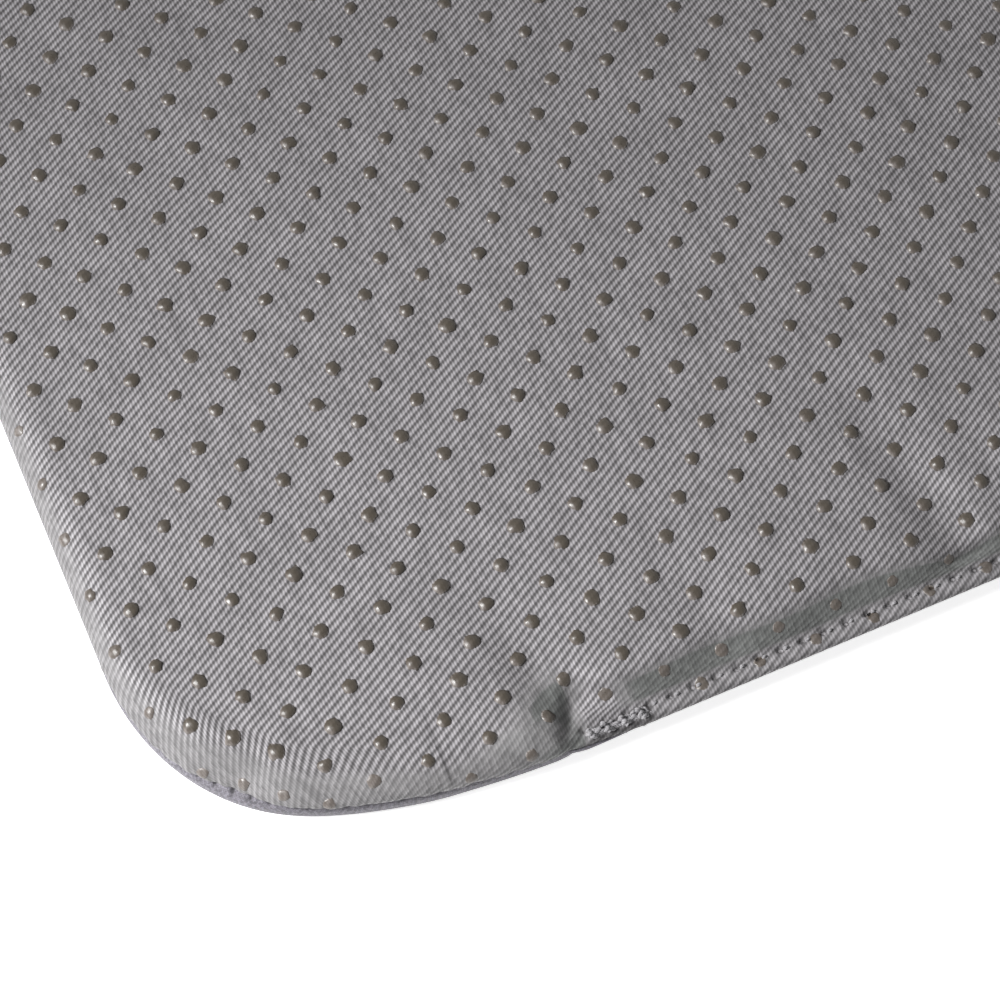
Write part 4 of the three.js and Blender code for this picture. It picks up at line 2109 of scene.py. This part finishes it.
@dataclass
class PadLayer:
    """One loose layer of the padding: a slab with soft edges that follows the top's unevenness.

    Attributes:
        node: Solid that it replaces.
        name: Name of the piece.
        soft_edge: Radius of its edges, as a part of its thickness.
        edge_drop: How far its edge is pressed down by the cover.
        edge_run: How far in from the edge it is pressed.
        insets: How far in from the edge its rings of points lie.
        firm: Part of the mat's thickness that the top's unevenness doesn't reach.
        give: Part of it over which the unevenness comes in.
    """

    mat: MatForm
    top: TopForm
    node: str
    name: str
    slot: str
    finish: Finish
    soft_edge: float = 0.5
    edge_drop: float = 0.35 * MM
    edge_run: float = 8.0 * MM
    insets: tuple[float, ...] = (24.0 * MM, 18.0 * MM, 13.0 * MM, 9.0 * MM, 6.0 * MM, 3.5 * MM)
    ring_step: float = 2.5 * MM
    corner_steps: int = 19
    edge_points: int = 7
    grid: float = 5.0 * MM
    firm: float = 0.35
    give: float = 0.6

    def outline(self, half_x: float, low_y: float, high_y: float, radius: float) -> tuple[Array, Array]:
        """Outline of the slab, anticlockwise.

        Args:
            half_x: Half its width.
            low_y: Its side towards the closing seam.
            high_y: Its far side.
            radius: Radius of its corners.

        Returns:
            Points on it and the ways out of it.
        """
        points, ways = [], []
        for quarter, (sign_x, y) in enumerate([(1, low_y), (1, high_y), (-1, high_y), (-1, low_y)]):
            turn = math.radians(90.0 * quarter - 90.0)
            centre = np.array([sign_x * (half_x - radius), y - math.copysign(radius, y)])
            angle = turn + np.linspace(0.0, math.pi / 2.0, self.corner_steps)
            way = np.stack([np.cos(angle), np.sin(angle)], 1)
            points.append(centre + way * radius)
            ways.append(way)
        point, way = np.concatenate(points), np.concatenate(ways)
        fine_points, fine_ways = [], []
        for i in range(len(point)):
            gap = point[(i + 1) % len(point)] - point[i]
            parts = max(1, math.ceil(float(np.linalg.norm(gap)) / self.ring_step))
            for k in range(parts):
                fine_points.append(point[i] + gap * k / parts)
                fine_ways.append(way[i])
        return np.array(fine_points), np.array(fine_ways)

    def build(self) -> bpy.types.Object:
        """Makes the layer.

        Returns:
            The piece.
        """
        low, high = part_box(self.node)
        thick = high.z - low.z
        edge = self.soft_edge * thick
        inset_gap = self.mat.half_width - high.x
        outline, ways = self.outline(high.x, low.y, high.y, self.mat.corner_radius - inset_gap)
        turn = np.linspace(0.0, math.pi, self.edge_points)
        inset = np.array([*self.insets, *(edge * (1.0 - np.sin(turn))), *self.insets[::-1]])
        flat = np.ones(len(self.insets))
        level = np.concatenate([flat, 0.5 + 0.5 * np.cos(turn), 0.0 * flat])
        count, per = len(outline), len(inset)
        plan = outline[:, None] - ways[:, None] * inset[None, :, None]
        z = np.repeat((low.z + thick * level)[None], count, 0)
        rings = np.concatenate([plan, z[..., None]], 2)
        middle, triangles = fill_ring(plan[:, 0], self.grid)
        faces = loft(count, per)
        first = np.arange(count) * per
        inner = count * per + np.arange(len(middle))
        over = np.concatenate([first, inner])
        under = np.concatenate([first + per - 1, inner + len(middle)])
        faces.extend(over[list(triangle)] for triangle in triangles)
        faces.extend(under[list(triangle)][::-1] for triangle in triangles)
        faces_z = [np.full(len(middle), high.z), np.full(len(middle), low.z)]
        points = np.concatenate([rings.reshape(-1, 3), *(np.column_stack([middle, z]) for z in faces_z)])
        by_ring = np.tile(1.0 - ease(inset / self.edge_run), count)
        pressed = np.concatenate([by_ring, np.zeros(2 * len(middle))])
        drop = self.top.sink(points[:, 0], points[:, 1]) + self.edge_drop * pressed
        points[:, 2] -= drop * ease((points[:, 2] / self.mat.thickness - self.firm) / self.give)
        piece = MeshPart(points, faces).to_object(self.name, self.finish.paint())
        settle(piece, self.slot, self.node)
        return piece


@dataclass
class Padding:
    """The four loose layers between the covers."""

    mat: MatForm
    top: TopForm

    def build(self) -> list[bpy.types.Object]:
        """Lays the layers.

        Returns:
            The pieces, from the press face up.
        """
        foil = PadFinish(
            "foil", (0.62, 0.63, 0.64), (0.82, 0.83, 0.84), 1.6 * MM, 0.12 * MM, (0.22, 0.38), metallic=1.0
        )
        felt = PadFinish("felt", (0.6, 0.57, 0.5), (0.78, 0.75, 0.68), 0.5 * MM, 0.2 * MM, (0.95, 0.8))
        sponge = PadFinish(
            "silicone_sponge",
            (0.34, 0.07, 0.035),
            (0.56, 0.17, 0.1),
            0.7 * MM,
            0.2 * MM,
            (0.8, 0.6),
            celled=True,
        )
        lining = PadFinish("lining", (0.68, 0.66, 0.61), (0.84, 0.82, 0.78), 0.8 * MM, 0.1 * MM, (0.9, 0.75))
        layers = [
            PadLayer(self.mat, self.top, node, name, finish.name, finish, soft_edge)
            for node, name, finish, soft_edge in (
                ("reflective_foil", "reflective_foil_sheet", foil, 0.3),
                ("wicking_felt", "wicking_felt_pad", felt, 0.5),
                ("foam_core", "sponge_core_pad", sponge, 0.3),
                ("insulating_lining", "insulating_lining_sheet", lining, 0.3),
            )
        ]
        made = [layer.build() for layer in layers]
        for piece, layer in zip(made, layers):
            if layer.node in ("wicking_felt", "foam_core"):
                continue
        return made


@dataclass
class Studio:
    """A white table, soft lamps, and the camera over the mat's near left corner.

    Attributes:
        aim: Where the camera looks, on the non-slip face.
        azimuth: How far it is turned from looking along +Y, to the right.
        elevation: How steeply it looks down.
        roll: How far it is turned about its own line of sight.
        distance: How far it stands off.
        lens: Its focal length, in millimetres on a 36 mm wide sensor.
    """

    mat: MatForm
    aim: tuple[float, float] = (-98.58 * MM, -119.09 * MM)
    azimuth: float = 21.89
    elevation: float = 65.29
    roll: float = -1.789
    distance: float = 378.29 * MM
    lens: float = 108.0
    table_drop: float = 0.12 * MM
    table_half: float = 4.0
    table_glow: float = 0.8
    room_light: float = 0.13

    def set_up(self) -> None:
        """Puts up the table, the lamps, the room and the camera."""
        self._table()
        self._lamp("key lamp", (-0.491, -0.048, 0.382), (-0.140, -0.197), 0.22, 0.79, 66.0)
        self._lamp("far lamp", (0.22, 0.24, 0.45), (0.12, 0.11), 0.14, 0.16, 36.0)
        self._room()
        self._camera()
        bpy.context.scene.view_settings.view_transform = "Standard"

    def _target(self) -> Vector:
        """The point that the camera looks at."""
        return Vector((*self.aim, self.mat.thickness))

    def _lamp(
        self,
        name: str,
        place: tuple[float, float, float],
        aim: tuple[float, float],
        size: float,
        power: float,
        spread: float,
    ) -> None:
        """Hangs a square soft lamp with a grid that keeps its light together.

        Args:
            name: Name of the lamp.
            place: Where it hangs.
            aim: Where it looks, on the non-slip face.
            size: Length of its sides.
            power: Its power in watts.
            spread: Angle over which the grid lets light out, in degrees.
        """
        light = bpy.data.lights.new(name, "AREA")
        light.shape, light.size, light.energy = "SQUARE", size, power
        light.spread = math.radians(spread)
        lamp = bpy.data.objects.new(name, light)
        lamp.location = place
        lamp.rotation_mode = "QUATERNION"
        target = Vector((*aim, self.mat.thickness))
        lamp.rotation_quaternion = (target - Vector(place)).to_track_quat("-Z", "Y")
        bpy.context.scene.collection.objects.link(lamp)

    def _seen(self, tree: bpy.types.NodeTree) -> Socket:
        """Tells what is seen directly from what only lights things.

        Args:
            tree: The nodes to add to.

        Returns:
            1 for what the camera, a reflection or a clear piece sees directly, 0 for other light.
        """
        path = tree.nodes.new("ShaderNodeLightPath")
        found: Socket = path.outputs["Is Camera Ray"]
        for name in ("Is Glossy Ray", "Is Transmission Ray"):
            node = tree.nodes.new("ShaderNodeMath")
            node.operation = "MAXIMUM"
            tree.links.new(found, node.inputs[0])
            tree.links.new(path.outputs[name], node.inputs[1])
            found = node.outputs[0]
        return found

    def _table(self) -> None:
        """Lays a white table top that keeps the mat's shadow."""
        h, z = self.table_half, -self.table_drop
        points = np.array([[-h, -h, z], [h, -h, z], [h, h, z], [-h, h, z]])
        g = NodeGraph("white_table")
        grain = g.noise(g.place(), 60.0 * MM, 2.0)
        pale = g.mix(grain, (0.86, 0.86, 0.86), (0.9, 0.9, 0.9))
        g.set(Base_Color=pale, Roughness=0.9, Specular_IOR_Level=0.1, Emission_Color=(1.0, 1.0, 1.0))
        g.plug(g.shader.inputs["Emission Strength"], g.times(self._seen(g.tree), self.table_glow))
        table = MeshPart(points, [[0, 1, 2, 3]]).to_object("table_top", g.material)

    def _room(self) -> None:
        """Fills the room with even light, white where it is seen directly."""
        world = bpy.data.worlds.new("white_room")
        world.use_nodes = True
        bpy.context.scene.world = world
        tree = world.node_tree
        back = tree.nodes["Background"]
        back.inputs["Color"].default_value = (1.0, 1.0, 1.0, 1.0)
        strength = tree.nodes.new("ShaderNodeMapRange")
        tree.links.new(self._seen(tree), strength.inputs["Value"])
        strength.inputs["To Min"].default_value = self.room_light
        strength.inputs["To Max"].default_value = 1.0
        tree.links.new(strength.outputs["Result"], back.inputs["Strength"])

    def _camera(self) -> None:
        """Sets the camera over the near left corner."""
        turn, lift = math.radians(self.azimuth), math.radians(self.elevation)
        back = Vector((-math.sin(turn) * math.cos(lift), -math.cos(turn) * math.cos(lift), math.sin(lift)))
        data = bpy.data.cameras.new("camera")
        data.lens, data.sensor_width = self.lens, 36.0
        data.clip_start, data.clip_end = 0.01, 50.0
        camera = bpy.data.objects.new("camera", data)
        camera.location = self._target() + back * self.distance
        camera.rotation_mode = "QUATERNION"
        tilt = Quaternion((0.0, 0.0, 1.0), math.radians(self.roll))
        camera.rotation_quaternion = (-back).to_track_quat("-Z", "Y") @ tilt
        bpy.context.scene.collection.objects.link(camera)
        bpy.context.scene.camera = camera


def main() -> None:
    """Builds the mat, piece by piece, and the studio round it."""
    logging.basicConfig(level=logging.INFO, format="%(message)s")
    mat = MatForm.from_solids()
    top = TopForm(mat)
    Studio(mat).set_up()
    Padding(mat, top).build()
    PressCover(mat, top).build()
    cloth = GripCover(mat, top).build()
    GripDots(mat).build(cloth)
    closing, edge = ClosingSeam(mat), EdgeSeam(mat)
    closing.build(Face.GRIP, "closing_needle_stitches", "closing_needle_thread")
    closing.build(Face.PRESS, "closing_bobbin_stitches", "closing_bobbin_thread")
    edge.build(Face.GRIP, "edge_needle_stitches", "seam_needle_thread")
    edge.build(Face.PRESS, "edge_bobbin_stitches", "seam_bobbin_thread")


if __name__ == "__main__":
    main()
